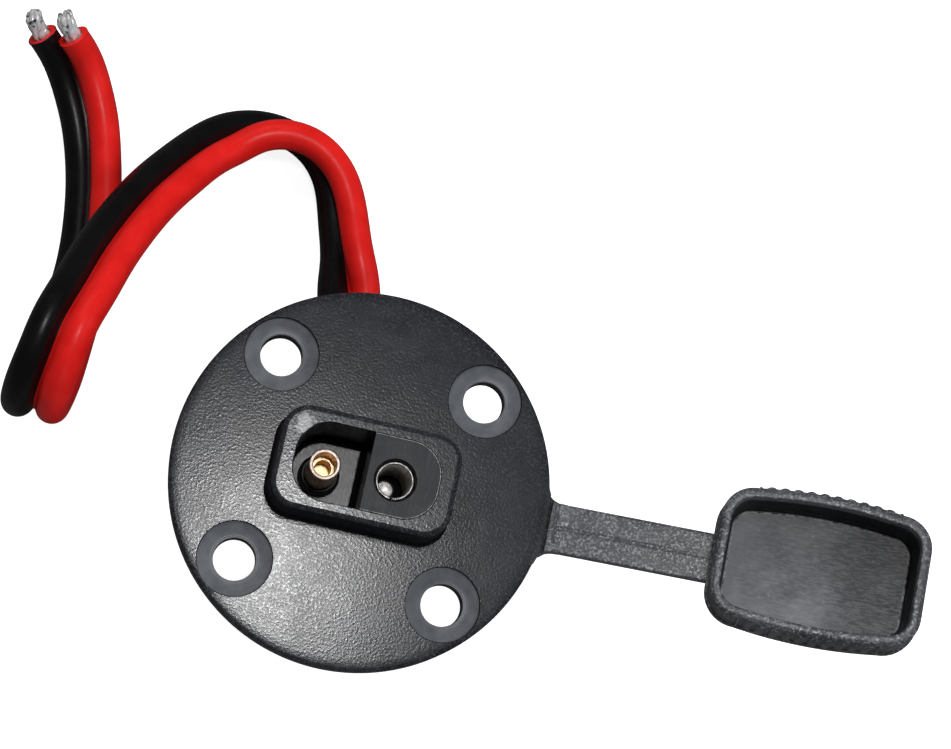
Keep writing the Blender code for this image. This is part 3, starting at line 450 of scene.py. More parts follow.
# Painted shade: the walls of the moulding and of the cap are smooth, nearly black and less specular than the
# faces, shaded copies of the same plastic
SHADED_WALL = plain("shaded_wall_pvc", (1.6,), EVEN, ((0.003, 0.0032, 0.0038), (0.0065, 0.0068, 0.0078)), (0.30, 0.44),
             (0.02, 0.5), (0.5, 2.0, 0.6, (1.0, 1.0, 0.12)), Specular_IOR_Level=0.25)
SHADED_CAP_WALL = plain("shaded_cap_wall", (2.0,), EVEN, ((0.005, 0.0053, 0.006), (0.010, 0.0105, 0.012)), (0.34, 0.48),
                 (0.02, 0.5), (0.5, 3.0, 0.6, (0.2, 0.2, 1.6)), Specular_IOR_Level=0.25)
RELIEF = plain("relief_pvc_dressed", (2.0,), EVEN, ((0.014, 0.014, 0.016), (0.026, 0.027, 0.029)),
               (0.42, 0.56), (0.03, 0.6), (0.3, 2.0, 0.6))

# Painted shade: a near-black, dull nylon for the bottom of the slot, the gap behind the land and the sleeve's
# bottom, where hardly any light comes; and the polished collar
PIT_SHADE = plain("pit_shade_nylon", (1.5,), EVEN, ((0.003, 0.003, 0.0035), (0.007, 0.007, 0.008)), (0.55, 0.70),
            (0.015, 0.5), lumps=(0.4,), Specular_IOR_Level=0.08)
COLLAR = plain("gloss_nylon", (1.2,), EVEN, ((0.004, 0.004, 0.005), (0.008, 0.008, 0.010)), (0.32, 0.42),
               (0.006, 0.4), lumps=(0.5,), Specular_IOR_Level=0.35)

# Painted highlights: pale lines along edges, in place of the light that a rounded edge catches
EDGE_HIGHLIGHT, CAP_EDGE_HIGHLIGHT = [
    plain(name, (0.9, 3.0, 0.65), (0.38, 0.62), colours, (0.30, 0.42), (0.008, 0.5), lumps=(0.25,))
    for name, colours in (("insert_edge_highlight", ((0.30, 0.30, 0.31), (0.85, 0.85, 0.86))),
                          ("cap_edge_highlight", ((0.03, 0.03, 0.033), (0.34, 0.34, 0.35))))]

# Lit and shaded copies of the pin's brass: its worn rim painted nearly white as a highlight, the wall of its
# bore a deeper amber as painted reflection of light bounced round it, and its stepped bottom painted brighter
# as lit
PALE_BRASS_HIGHLIGHT = plain("pale_brass_highlight", (0.6, 3.0, 0.6), UPPER, ((0.90, 0.76, 0.69), (0.82, 0.62, 0.51)),
                   (0.38, 0.48), (0.008, 0.5), lumps=(0.25,), Metallic=1.0)
BORE_BRASS_BOUNCE = plain("bore_brass_bounce", (0.5, 2.0, 0.6, (1.0, 1.0, 0.2)), UPPER,
                   ((0.90, 0.40, 0.08), (0.66, 0.24, 0.03)), (0.30, 0.42), (0.008, 0.5), Metallic=0.8)
LIT_FLOOR_BRASS = plain("lit_floor_brass", (0.7, 3.0, 0.6), UPPER, ((1.0, 0.86, 0.52), (0.98, 0.74, 0.36)),
                    (0.32, 0.42), (0.010, 0.5), lumps=(0.25,), Metallic=1.0)

# Dull tin plate inside the sleeve, mixed with a darker brownish grey in streaks along the bore, and the
# brighter rim and slug
TIN = plain("tin_dressed", (1.4, 3.0, 0.6), UPPER, ((0.66, 0.62, 0.58), (0.40, 0.36, 0.32)), (0.30, 0.46),
            (0.008, 0.5), (0.4, 2.0, 0.6, (1.0, 1.0, 0.1)), Metallic=0.5)
BRIGHT_TIN = plain("bright_tin", (0.7, 3.0, 0.6), UPPER, ((0.66, 0.66, 0.65), (0.36, 0.35, 0.34)),
                   (0.34, 0.48), (0.012, 0.6), lumps=(0.3,), Metallic=1.0)


# Mesh helpers, all in millimetres

def arc(cx, cz, radius, start, end, steps):
    angles = [math.radians(start + (end - start) * i / steps) for i in range(steps + 1)]
    return [(cx + radius * math.cos(a), cz + radius * math.sin(a)) for a in angles]


def rounded_rectangle(length, width, corner, steps=10):
    points = []
    for turn, (sx, sy) in enumerate(((1, 1), (-1, 1), (-1, -1), (1, -1))):
        for i in range(steps + 1):
            a = math.radians(90 * turn + 90 * i / steps)
            points.append((sx * (length / 2 - corner) + corner * math.cos(a),
                           sy * (width / 2 - corner) + corner * math.sin(a)))
    return points


def level(outline, z, shift=(0.0, 0.0)):
    return [(x + shift[0], y + shift[1], z) for x, y in outline]


def rim(size, grow, z, steps=12):
    """A rounded rectangle of a length, a width and a corner, grown on all sides and set at a height."""
    length, width, corner = size
    return level(rounded_rectangle(length + 2 * grow, width + 2 * grow, corner + grow, steps), z)


def oval(across, steps=10):
    """The outline round both conductors, which lie side by side."""
    return rounded_rectangle(WIRE_SPACING + across, across, across * OVAL_CORNER, steps)


def rectangle(x0, x1, half):
    return [(x1, -half), (x1, half), (x0, half), (x0, -half)]


def circle(radius, segments):
    return [(radius * math.cos(2 * math.pi * i / segments), radius * math.sin(2 * math.pi * i / segments))
            for i in range(segments)]


def new_piece(name, points, faces, materials, zones=None):
    mesh = bpy.data.meshes.new(name)
    mesh.from_pydata([(x * MM, y * MM, z * MM) for x, y, z in points], [], faces)
    for material in materials:
        mesh.materials.append(material)
    if zones is not None:
        mesh.polygons.foreach_set("material_index", zones)
    mesh.update()
    obj = bpy.data.objects.new(name, mesh)
    collection.objects.link(obj)
    return obj


def loft(name, rings, materials, zones=None):
    """Rings of points joined in order, closed at both ends; zones gives each band's material."""
    count = len(rings[0])
    points = [point for ring in rings for point in ring]
    faces = [tuple(reversed(range(count)))]
    bands = [0] if zones is None else [zones[0]]
    for k in range(len(rings) - 1):
        low = k * count
        high = low + count
        for i in range(count):
            j = (i + 1) % count
            faces.append((low + i, low + j, high + j, high + i))
        bands += [0 if zones is None else zones[k]] * count
    last = (len(rings) - 1) * count
    faces.append(tuple(range(last, last + count)))
    bands.append(0 if zones is None else zones[-1])
    return new_piece(name, points, faces, materials, bands)


def lathe(name, profile, segments, materials, place=(0.0, 0.0), zones=None):
    """Turned about an upright axis: the profile runs from the foot up the outer side."""
    rings = [level(circle(max(radius, 0.001), segments), z, place) for radius, z in profile]
    return loft(name, rings, materials, zones)


def cut(target, cutter, operation="DIFFERENCE"):
    modifier = target.modifiers.new(cutter.name, "BOOLEAN")
    modifier.operation = operation
    modifier.solver = "EXACT"
    modifier.material_mode = "TRANSFER"
    modifier.object = cutter
    return cutter


def settle(obj, leftovers=()):
    """Apply the modifiers to the mesh, and clear away what they used."""
    bpy.context.view_layer.update()
    evaluated = obj.evaluated_get(bpy.context.evaluated_depsgraph_get())
    mesh = bpy.data.meshes.new_from_object(evaluated)
    obj.modifiers.clear()
    obj.data = mesh
    for other in leftovers:
        bpy.data.objects.remove(other, do_unlink=True)
    return obj


def shade(obj, angle=34.0, weighted=True):
    obj.data.shade_smooth()
    obj.data.set_sharp_from_angle(angle=math.radians(angle))
    if weighted:
        normals = obj.modifiers.new("normals", "WEIGHTED_NORMAL")
        normals.keep_sharp = True
        normals.weight = 60
        settle(obj)
    return obj


def moved(obj, matrix):
    obj.data.transform(matrix)
    return obj


def dress(obj, body, node):
    """The piece rides on the body and takes the place of the node."""
    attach(obj, body)
    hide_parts(node)


EXIT = Vector((math.cos(EXIT_ANGLE), math.sin(EXIT_ANGLE), 0.0))
SIDE = Vector((-math.sin(EXIT_ANGLE), math.cos(EXIT_ANGLE), 0.0))


def along_exit(obj, distance):
    turn = Matrix.Rotation(EXIT_ANGLE - math.pi / 2, 4, "Z") @ Matrix.Rotation(-math.pi / 2, 4, "X")
    foot = (EXIT * distance + Vector((0.0, 0.0, CABLE_Z))) * MM
    return moved(obj, Matrix.Translation(foot) @ turn)


def lifted(obj):
    """Turn a piece built flat up about the root hinge, to where the strap and cap rest."""
    place = Vector((ROOT_HINGE_X, 0.0, STRAP_Z)) * MM
    return moved(obj, Matrix.Translation(place) @ Matrix.Rotation(-REST_TILT, 4, "Y")
                 @ Matrix.Translation(-place))


# Twin cable

def smooth_curve(route, count):
    """Evenly spread points of the natural cubic curve through the route's rows."""
    rows = np.array(route, dtype=float)
    knots = np.concatenate(([0.0], np.cumsum(np.linalg.norm(np.diff(rows[:, :3], axis=0), axis=1))))
    spans = np.diff(knots)
    size = len(rows)
    system = np.eye(size)
    right = np.zeros_like(rows)
    for i in range(1, size - 1):
        system[i, i - 1:i + 2] = (spans[i - 1], 2 * (spans[i - 1] + spans[i]), spans[i])
        right[i] = 6 * ((rows[i + 1] - rows[i]) / spans[i] - (rows[i] - rows[i - 1]) / spans[i - 1])
    bends = np.linalg.solve(system, right)
    places = np.linspace(0.0, knots[-1], count)
    at = np.clip(np.searchsorted(knots, places, side="right") - 1, 0, size - 2)
    span = spans[at][:, None]
    before = (knots[at + 1] - places)[:, None] / span
    after = (places - knots[at])[:, None] / span
    line = before * rows[at] + after * rows[at + 1]
    return line + ((before**3 - before) * bends[at] + (after**3 - after) * bends[at + 1]) * span**2 / 6


def on_wire(side, distance):
    """A point on one conductor's middle line at a distance along the exit."""
    return EXIT * distance + SIDE * (side * WIRE_SPACING / 2) + Vector((0.0, 0.0, CABLE_Z))


def wire_entry(side):
    return on_wire(side, GLAND_REACH - RELIEF_SHANK - WIRE_CLEARANCE)


def terminal_foot(x):
    return Vector((x, TERMINAL_Y, CABLE_Z))


def crimp_heading(x, side):
    return (wire_entry(side) - terminal_foot(x)).normalized()


def at_crimp(obj, x, side):
    """Turn a piece built upright to lie along one terminal's crimp."""
    turn = Vector((0.0, 0.0, 1.0)).rotation_difference(crimp_heading(x, side)).to_matrix().to_4x4()
    return moved(obj, Matrix.Translation(terminal_foot(x) * MM) @ turn)


def wire_frames(x, side, lead):
    """Middle line, heading and way to the other conductor along one wire, from crimp to stripped end."""
    pair = smooth_curve(PAIR_ROUTE, 260)
    middle = pair[:, :3]
    along = np.gradient(middle, axis=0)
    along /= np.linalg.norm(along, axis=1)[:, None]
    across = pair[:, 3:]
    across = across - (across * along).sum(axis=1)[:, None] * along
    across /= np.linalg.norm(across, axis=1)[:, None]
    line = middle + across * (side * WIRE_SPACING / 2)
    last = line[-1] + along[-1] * lead
    start = np.array(terminal_foot(x) + crimp_heading(x, side) * (CRIMP_LENGTH + 0.3))
    entry = np.array(wire_entry(side))
    hidden = [start + (entry - start) * k / 4 for k in range(4)]
    line = np.vstack((hidden, [entry], line, [last]))
    side_way = np.vstack(([np.array(SIDE)] * 5, across, [across[-1]]))
    heading = np.gradient(line, axis=0)
    heading[-1] = along[-1]
    heading /= np.linalg.norm(heading, axis=1)[:, None]
    side_way = side_way - (side_way * heading).sum(axis=1)[:, None] * heading
    side_way /= np.linalg.norm(side_way, axis=1)[:, None]
    return line, heading, side_way * -side


def wire_section(radius, joined):
    """The round section with the web that bonds it to its neighbour, which lies towards +x."""
    angles = list(range(20, 341, 10)) + [-14, -5, 5, 14]
    points = [(radius * math.cos(math.radians(a)), radius * math.sin(math.radians(a))) for a in angles]
    if joined:
        bond = WIRE_SPACING / 2 - 0.01
        points[-4:] = [(bond, -0.66), (bond, -0.22), (bond, 0.22), (bond, 0.66)]
    return points


def swept_ring(section, place, heading, toward):
    lift = np.cross(heading, toward)
    return [tuple(place + toward * u + lift * v) for u, v in section]


def add_wire(name, x, side, lead, skin, core):
    line, heading, toward = wire_frames(x, side, lead)
    outer = wire_section(WIRE_RADIUS, True)
    rings = [swept_ring(outer, p, h, t) for p, h, t in zip(line, heading, toward)]
    zones = [0] * (len(rings) - 1)
    end, ahead, way = line[-1], heading[-1], toward[-1]
    flared_end = ((2.64, -0.05, 0), (2.60, 0.08, 0), (2.42, 0.13, 0),
                  (1.62, 0.10, 1), (1.55, -0.10, 1), (1.55, -1.2, 1))
    for radius, step, zone in flared_end:
        rings.append(swept_ring(wire_section(radius, radius > 2.0), end + ahead * step, ahead, way))
        zones.append(zone)
    wire = loft(name, rings, [skin, core], zones)
    shade(wire, 40.0, weighted=False)
    return wire, line, heading, toward


def add_strands(name, end, heading, toward, seed):
    """Seven thick tinned strands run together with solder, lumpy, cut unevenly and bent a little."""
    random = np.random.default_rng(seed)
    lift = np.cross(heading, toward)
    lean = np.array((-0.30, 0.92, 0.25))
    lean = lean - heading * float(lean @ heading)
    points = []
    faces = []
    sides = 14
    steps = 22
    for ring, count, thick in ((0.0, 1, 0.70), (0.93, 6, 0.61)):
        for number in range(count):
            turn = 2 * math.pi * number / max(count, 1) + random.uniform(-0.10, 0.10)
            length = STRAND_LENGTH - 0.3 - random.uniform(0.0, 0.6) + (0.3 if ring == 0.0 else 0.0)
            base = len(points)
            wobble = random.uniform(0, 6.28, 3)
            for k in range(steps + 1):
                s = k / steps
                height = -1.0 + (length + 1.0) * s
                angle = turn + math.radians(50.0) * height / STRAND_LENGTH
                spread = ring * (1.0 + 0.06 * math.sin(6 * s + wobble[0]))
                centre = (end + heading * height + lean * (0.085 * max(height, 0.0) ** 2)
                          + toward * spread * math.cos(angle) + lift * spread * math.sin(angle))
                lumps = 0.09 * math.sin(11 * s + wobble[1]) + 0.05 * math.sin(23 * s + wobble[2])
                radius = thick * (1.0 + lumps)
                radius *= (1.0, 0.94, 0.74, 0.40)[max(0, k - steps + 3)]
                for i in range(sides):
                    a = 2 * math.pi * i / sides
                    points.append(tuple(centre + toward * radius * math.cos(a) + lift * radius * math.sin(a)))
            faces.append(tuple(base + i for i in reversed(range(sides))))
            for k in range(steps):
                low = base + k * sides
                for i in range(sides):
                    j = (i + 1) % sides
                    faces.append((low + i, low + j, low + sides + j, low + sides + i))
            faces.append(tuple(base + steps * sides + i for i in range(sides)))
    strands = new_piece(name, points, faces, [SOLDER])
    return shade(strands, 60.0, weighted=False)


def add_relief():
    bore = 2 * (WIRE_RADIUS + WIRE_CLEARANCE)
    width = bore + 2 * RELIEF_WALL
    total = RELIEF_SHANK + RELIEF_LENGTH
    stations = [(0.0, 0.0), (0.0, RELIEF_SHANK + 0.2)]
    for number in range(RELIEF_RINGS):
        share = number / (RELIEF_RINGS - 1)
        start = RELIEF_SHANK + 0.3 + (RELIEF_LENGTH - 3.0) * share
        proud = RING_PROUD - RING_TAPER * share
        for height, along in ((0.0, 0.0), (0.7, 0.08), (1.0, 0.35), (1.0, 1.15), (0.7, 1.42), (0.0, 1.5)):
            stations.append((proud * height, start + along))
    stations += [(0.0, total - 0.45), (-0.14, total - 0.14), (-0.42, total)]
    rings = [level(oval(width + 2 * grow), z) for grow, z in stations]
    rings += [level(oval(bore + 0.3), total), level(oval(bore), total - 0.2), level(oval(bore), 0.3)]
    relief = loft("strain_relief_dressed", rings, [RELIEF])
    along_exit(relief, GLAND_REACH - RELIEF_SHANK)
    shade(relief, 40.0)
    dress(relief, "port", "strain_relief")
    return relief


relief = add_relief()
for name, x, side, lead, skin, slot_name, seed in (
        ("black", PIN_X, 1, BLACK_END_LEAD, BLACK, "black_insulation", 3),
        ("red", SOCKET_X, -1, 0.0, RED, "red_insulation", 8)):
    wire, line, heading, toward = add_wire(f"{name}_wire_dressed", x, side, lead, skin, RED)
    strands = add_strands(f"{name}_strands_dressed", line[-1], heading[-1], toward[-1], seed)
    dress(wire, "port", f"{name}_wire")
    dress(strands, "port", f"{name}_strands")


# Flange housing

def add_housing():
    foot = BARREL_RADIUS - 0.4 - BARREL_EDGE
    profile = [(0.0, 0.0), (foot * 0.5, 0.0), (foot - 0.6, 0.0)]
    profile += arc(foot, BARREL_EDGE, BARREL_EDGE, -90, 0, 6)
    profile += [(BARREL_RADIUS - 0.2, 10.0)]
    profile += arc(BARREL_RADIUS + BARREL_ROOT, BACK_Z - BARREL_ROOT, BARREL_ROOT, 180, 90, 6)
    profile += [(FLANGE_RADIUS - 1.2, BACK_Z), (FLANGE_RADIUS - 0.35, BACK_Z), (FLANGE_RADIUS, BACK_Z + 0.35)]
    profile += arc(FLANGE_RADIUS - FLANGE_EDGE, FACE_Z - 0.72, FLANGE_EDGE, 0, 84, 8)
    profile += [(FLANGE_RADIUS - 1.3, FACE_Z - 0.005), (FLANGE_RADIUS - 2.0, FACE_Z)]
    profile += [(FLANGE_RADIUS * 0.5, FACE_Z), (3.0, FACE_Z), (0.0, FACE_Z)]
    housing = lathe("flange_housing_dressed", profile, 192, [GRAIN])

    boss = (BOSS_LENGTH, BOSS_WIDTH, BOSS_CORNER)
    rings = [rim(boss, 0.43, FACE_Z - 0.4)]
    for phi in (78, 60, 42, 24, 8):
        a = math.radians(phi)
        rings.append(rim(boss, BOSS_ROOT * (1 - math.cos(a)), FACE_Z + BOSS_ROOT * (1 - math.sin(a))))
    zones = [1] * len(rings)
    for k in range(9):
        a = math.radians(90 * k / 8)
        inset = BOSS_DRAFT + BOSS_EDGE * (1 - math.cos(a))
        rings.append(rim(boss, -inset, BOSS_Z - BOSS_EDGE + BOSS_EDGE * math.sin(a)))
        if k:
            zones.append(1 if k < 3 else 0)
    used = [cut(housing, loft("boss", rings, [GRAIN, SHADED_WALL], zones), "UNION")]

    tab = loft("tab", [level(rectangle(26.0, 30.0, STRAP_HALF_WIDTH), z, (0.0, STRAP_Y))
                       for z in (STRAP_Z - STRAP_HALF_THICKNESS, STRAP_Z + 0.5)], [GRAIN])
    used.append(cut(housing, tab, "UNION"))
    lip = [(30.2, -4.4), (30.2, 4.4), (29.82, 5.0), (29.5, 5.7), (29.2, 6.5), (27.5, 7.4), (27.5, -7.4),
           (29.2, -6.5), (29.5, -5.7), (29.82, -5.0)]
    lip = loft("lip", [level(lip, z, (0.0, STRAP_Y)) for z in (BACK_Z + 0.4, FACE_Z - 0.03)], [GRAIN])
    used.append(cut(housing, lip, "UNION"))

    length, width, corner = GLAND_SIZE
    straight = GLAND_REACH - BARREL_RADIUS / 2 - 1.0
    rings = [rim(GLAND_SIZE, 0.0, 0.0, 8), rim(GLAND_SIZE, 0.0, straight, 8)]
    for k in range(1, 7):
        a = math.radians(90 * k / 6)
        inset = 1.0 - math.cos(a)
        rings.append(level(rounded_rectangle(length - 2 * inset, width - 2 * inset, corner - inset * 0.8, 8),
                           straight + math.sin(a)))
    used.append(cut(housing, along_exit(loft("gland", rings, [GRAIN]), BARREL_RADIUS / 2), "UNION"))

    recess = (RECESS_LENGTH, RECESS_WIDTH, RECESS_CORNER)
    rings = [rim(recess, 0.0, SEAT_Z, 14)]
    for k in range(6):
        a = math.radians(90 * k / 5)
        z = BOSS_Z - RECESS_EDGE + RECESS_EDGE * math.sin(a)
        rings.append(rim(recess, RECESS_EDGE * (1 - math.cos(a)), z, 14))
    rings.append(rim(recess, RECESS_EDGE, BOSS_Z + 0.5, 14))
    zones = [1, 1, 0, 0, 0, 0, 0]
    used.append(cut(housing, loft("recess", rings, [GRAIN, SHADED_WALL], zones)))

    notch = loft("notch", [level(rectangle(29.92, 31.2, 5.4), z, (0.0, STRAP_Y))
                           for z in (STRAP_Z + 0.5, FACE_Z + 0.5)], [SHADED_WALL])
    used.append(cut(housing, notch))

    dish = [(0.0, BACK_Z - 0.4), (HOLE_RADIUS, BACK_Z - 0.4), (HOLE_RADIUS, FACE_Z - 1.28)]
    zones = [1, 1]
    for k in range(9):
        share = k / 8
        dish.append((HOLE_RADIUS + 0.12 + (DISH_RADIUS - HOLE_RADIUS - 0.16) * share,
                     FACE_Z - 0.42 - 0.72 * math.cos(math.pi / 2 * share) ** 1.3))
        zones.append(0)
    dish += [(DISH_RADIUS, FACE_Z - 0.36), (DISH_RADIUS, FACE_Z - 0.10), (DISH_RADIUS + 0.12, FACE_Z),
             (DISH_RADIUS + 0.14, FACE_Z + 0.4), (0.0, FACE_Z + 0.4)]
    zones += [0, 1, 1, 1, 1]
    for number, (sx, sy) in enumerate(((-1, -1), (1, -1), (1, 1), (-1, 1))):
        hole = lathe(f"dish_{number}", dish, 72, [DISH, SHADED_WALL], (sx * SCREW_OFFSET, sy * SCREW_OFFSET), zones)
        used.append(cut(housing, hole))

    seat = oval(2 * (WIRE_RADIUS + 2 * WIRE_CLEARANCE + RELIEF_WALL), 12)
    pocket = loft("pocket", [level(seat, 0.0), level(seat, RELIEF_SHANK + 2.0)], [SHADED_WALL])
    used.append(cut(housing, along_exit(pocket, GLAND_REACH - RELIEF_SHANK - WIRE_CLEARANCE)))
    bore = WIRE_RADIUS + WIRE_CLEARANCE
    for x, side in ((PIN_X, 1), (SOCKET_X, -1)):
        reach = (wire_entry(side) - terminal_foot(x)).length + 2.0
        channel = lathe("channel", [(0.0, -2.0), (bore, -2.0), (bore, reach), (0.0, reach)], 24, [SHADED_WALL])
        used.append(cut(housing, at_crimp(channel, x, side)))
        well = lathe("well", [(0.0, 3.4), (2.6, 3.4), (2.6, SEAT_Z + 0.3), (0.0, SEAT_Z + 0.3)], 24, [SHADED_WALL],
                     (x, TERMINAL_Y))
        used.append(cut(housing, well))
    settle(housing, used)
    shade(housing)
    dress(housing, "port", "flange_housing")


def add_insert():
    size = (RECESS_LENGTH - 0.06, RECESS_WIDTH - 0.06, RECESS_CORNER - 0.03)
    rings = [rim(size, 0.0, z, 14) for z in (INSERT_BOTTOM_Z, BOSS_Z - 0.25)]
    for k in range(1, 5):
        a = math.radians(90 * k / 4)
        rings.append(rim(size, -0.14 * (1 - math.cos(a)), BOSS_Z - 0.20 + 0.16 * math.sin(a), 14))
    insert = loft("terminal_insert_dressed", rings, [INSERT, EDGE_HIGHLIGHT], [0, 0, 1, 1, 0])

    def box(name, x0, x1, z0, z1, floor):
        rings = [level(rectangle(x0, x1, 8.0), z) for z in (z0, z0 + 0.02, z1)]
        return loft(name, rings, [floor, SHADED_WALL], [0, 1])

    used = [cut(insert, box("land", -14.0, 0.1, LAND_Z - 1.6, BOSS_Z + 1.0, PIT_SHADE))]
    used.append(cut(insert, box("slot", -0.7, 0.1, LAND_Z - 2.6, LAND_Z - 1.0, PIT_SHADE)))

    def plate(inset, z):
        left, right = 0.25 - RECESS_LENGTH / 2 + inset, -0.85 - inset
        front, back = 0.05 - RECESS_WIDTH / 2 + inset, RECESS_WIDTH / 2 - 1.15 - inset
        round_end = 4.9 - inset
        outline = [(right, front), (right, back)]
        outline += arc(left + round_end, back - round_end, round_end, 90, 180, 14)
        outline += arc(left + round_end, front + round_end, round_end, 180, 270, 14)
        return level(outline, z)

    rings = [plate(0.0, LAND_Z - 2.2), plate(0.0, LAND_Z - 0.16), plate(0.08, LAND_Z - 0.05)]
    rings += [plate(0.28, LAND_Z)]
    used.append(cut(insert, loft("land_plate", rings, [LAND, SHADED_WALL, EDGE_HIGHLIGHT], [1, 2, 2, 0]), "UNION"))
    collar = [(0.0, LAND_Z - 0.3), (3.3, LAND_Z - 0.3), (3.3, LAND_Z + 1.05)]
    collar += arc(3.1, LAND_Z + 1.05, 0.2, 0, 90, 4)
    collar += [(3.0, LAND_Z + 1.27), (3.0, LAND_Z + 2.6)]
    collar += arc(2.82, LAND_Z + 2.62, 0.18, 0, 90, 4)
    collar += [(0.0, LAND_Z + 2.8)]
    used.append(cut(insert, lathe("collar", collar, 72, [COLLAR], (PIN_X, TERMINAL_Y)), "UNION"))
    hole = lathe("pin_hole", [(0.0, 15.5), (2.53, 15.5), (2.53, 40.0), (0.0, 40.0)], 72, [COLLAR],
                 (PIN_X, TERMINAL_Y))
    used.append(cut(insert, hole))
    bore = [(0.0, 15.5), (3.08, 15.5), (3.08, BOSS_Z - 0.5), (3.16, BOSS_Z - 0.32)]
    bore += arc(3.5, BOSS_Z - 0.28, 0.28, 180, 90, 4)
    bore += [(3.5, 40.0), (0.0, 40.0)]
    used.append(cut(insert, lathe("sleeve_hole", bore, 72, [COLLAR], (SOCKET_X, TERMINAL_Y))))
    settle(insert, used)
    shade(insert)
    dress(insert, "port", "terminal_insert")


def add_tail(x, side, material):
    """The crimp barrel under the insert, hidden in the housing."""
    profile = [(0.0, -1.9), (CRIMP_RADIUS, -1.9), (CRIMP_RADIUS, CRIMP_LENGTH)]
    profile += [(1.5, CRIMP_LENGTH), (1.5, 3.0), (0.0, 3.0)]
    return at_crimp(lathe("tail", profile, 32, [material]), x, side)


def post(radius):
    """The foot of a terminal's profile, up to its full radius at the insert's underside."""
    return [(0.0, POST_FOOT_Z), (POST_RADIUS, POST_FOOT_Z), (POST_RADIUS, INSERT_BOTTOM_Z - 0.2),
            (radius, INSERT_BOTTOM_Z)]


def join(target, others):
    with bpy.context.temp_override(active_object=target, selected_editable_objects=[target, *others],
                                   object=target):
        bpy.ops.object.join()
    return target


def add_pin():
    tip = BOSS_Z - 0.2
    profile = post(PIN_RADIUS) + [(PIN_RADIUS, tip - 1.2), (PIN_RADIUS, tip - 0.28)]
    profile += arc(PIN_RADIUS - 0.2, tip - 0.2, 0.2, 22.5, 90, 3)
    for a in (90, 60, 30, 0):
        a = math.radians(a)
        profile.append((1.90 - 0.12 * math.cos(a), tip - 0.14 + 0.14 * math.sin(a)))
    step = tip - 4.6
    floor = tip - 9.0
    profile += [(1.78, step), (1.36, step - 0.02), (1.32, step - 0.12)]
    profile += [(1.32, floor + 0.1), (1.22, floor), (0.0, floor)]
    zones = [0] * 5 + [1] * 8 + [3, 2, 2, 3, 2, 2]
    pin = lathe("pin_terminal_dressed", profile, 80, [BRASS, PALE_BRASS_HIGHLIGHT, LIT_FLOOR_BRASS, BORE_BRASS_BOUNCE],
                (PIN_X, TERMINAL_Y), zones)
    join(pin, [add_tail(PIN_X, 1, BRASS)])
    shade(pin)
    dress(pin, "port", "pin_terminal")


def add_sleeve():
    top = BOSS_Z - 0.8
    floor = top - 11.0
    profile = post(SLEEVE_RADIUS) + [(SLEEVE_RADIUS, top - 0.15)]
    profile += arc(SLEEVE_RADIUS - 0.15, top - 0.15, 0.15, 30, 90, 2)
    profile += arc(SLEEVE_RADIUS - 0.30, top - 0.15, 0.15, 90, 180, 3)
    profile += [(2.30, floor + 0.3), (2.1, floor), (0.0, floor)]
    zones = [0] * 4 + [1] * 7 + [0, 2, 2]
    sleeve = lathe("socket_terminal_dressed", profile, 80, [TIN, BRIGHT_TIN, PIT_SHADE],
                   (SOCKET_X, TERMINAL_Y), zones)
    split = loft("split", [level(rectangle(-0.25, 0.25, 0.8), z, (SOCKET_X, TERMINAL_Y - 2.8))
                           for z in (top - 9.9, top + 1.0)], [TIN])
    cut(sleeve, split)
    settle(sleeve, [split])
    slug = [(0.0, floor - 0.2), (1.6, floor - 0.2), (1.6, floor + 3.0)]
    slug += arc(1.2, floor + 3.0, 0.4, 0, 90, 6)
    slug += [(0.6, floor + 3.42), (0.0, floor + 3.40)]
    slug = lathe("slug", slug, 48, [BRIGHT_TIN], (SOCKET_X - 0.75, TERMINAL_Y - 0.55))
    join(sleeve, [slug, add_tail(SOCKET_X, -1, TIN)])
    shade(sleeve)
    dress(sleeve, "port", "socket_terminal")


add_housing()
add_insert()
add_pin()
add_sleeve()


# Strap and cap

def strap_section(half_width, top, bottom, crease, dip):
    """Across the strap, seen along +x: steep sides, soft edges, a faint crease, and a dip of the far half."""
    slope = 0.14
    edge = 0.20
    far = top - dip
    points = [(half_width, bottom + 0.2), (half_width - slope * 0.9, far - edge)]
    points += arc(half_width - slope - edge, far - edge, edge, 30, 90, 2)
    points += [(half_width - 0.6, far), (half_width * 0.5, far), (0.5, far), (0.32, far)]
    points += [(0.14, far - crease * 0.8), (0.0, top - crease), (-0.14, top - crease * 0.8)]
    points += [(-0.32, top), (-0.5, top), (-half_width * 0.5, top), (0.6 - half_width, top)]
    points += arc(-half_width + slope + edge, top - edge, edge, 90, 150, 2)
    points += [(-half_width + slope * 0.9, top - edge), (-half_width, bottom + 0.2)]
    points += [(-half_width + 0.2, bottom), (half_width - 0.2, bottom)]
    return points


def strap_piece(name, stations):
    """stations gives x, growth of the half width, rise of the top, depth of the crease and dip."""
    rings = []
    for x, wider, rise, crease, dip in stations:
        section = strap_section(STRAP_HALF_WIDTH + wider, STRAP_HALF_THICKNESS + rise, -STRAP_HALF_THICKNESS,
                                crease, dip)
        rings.append([(x, y + STRAP_Y, z + STRAP_Z) for y, z in section])
    strap = lifted(loft(name, rings, [STRAP]))
    return shade(strap, 36.0, weighted=False)


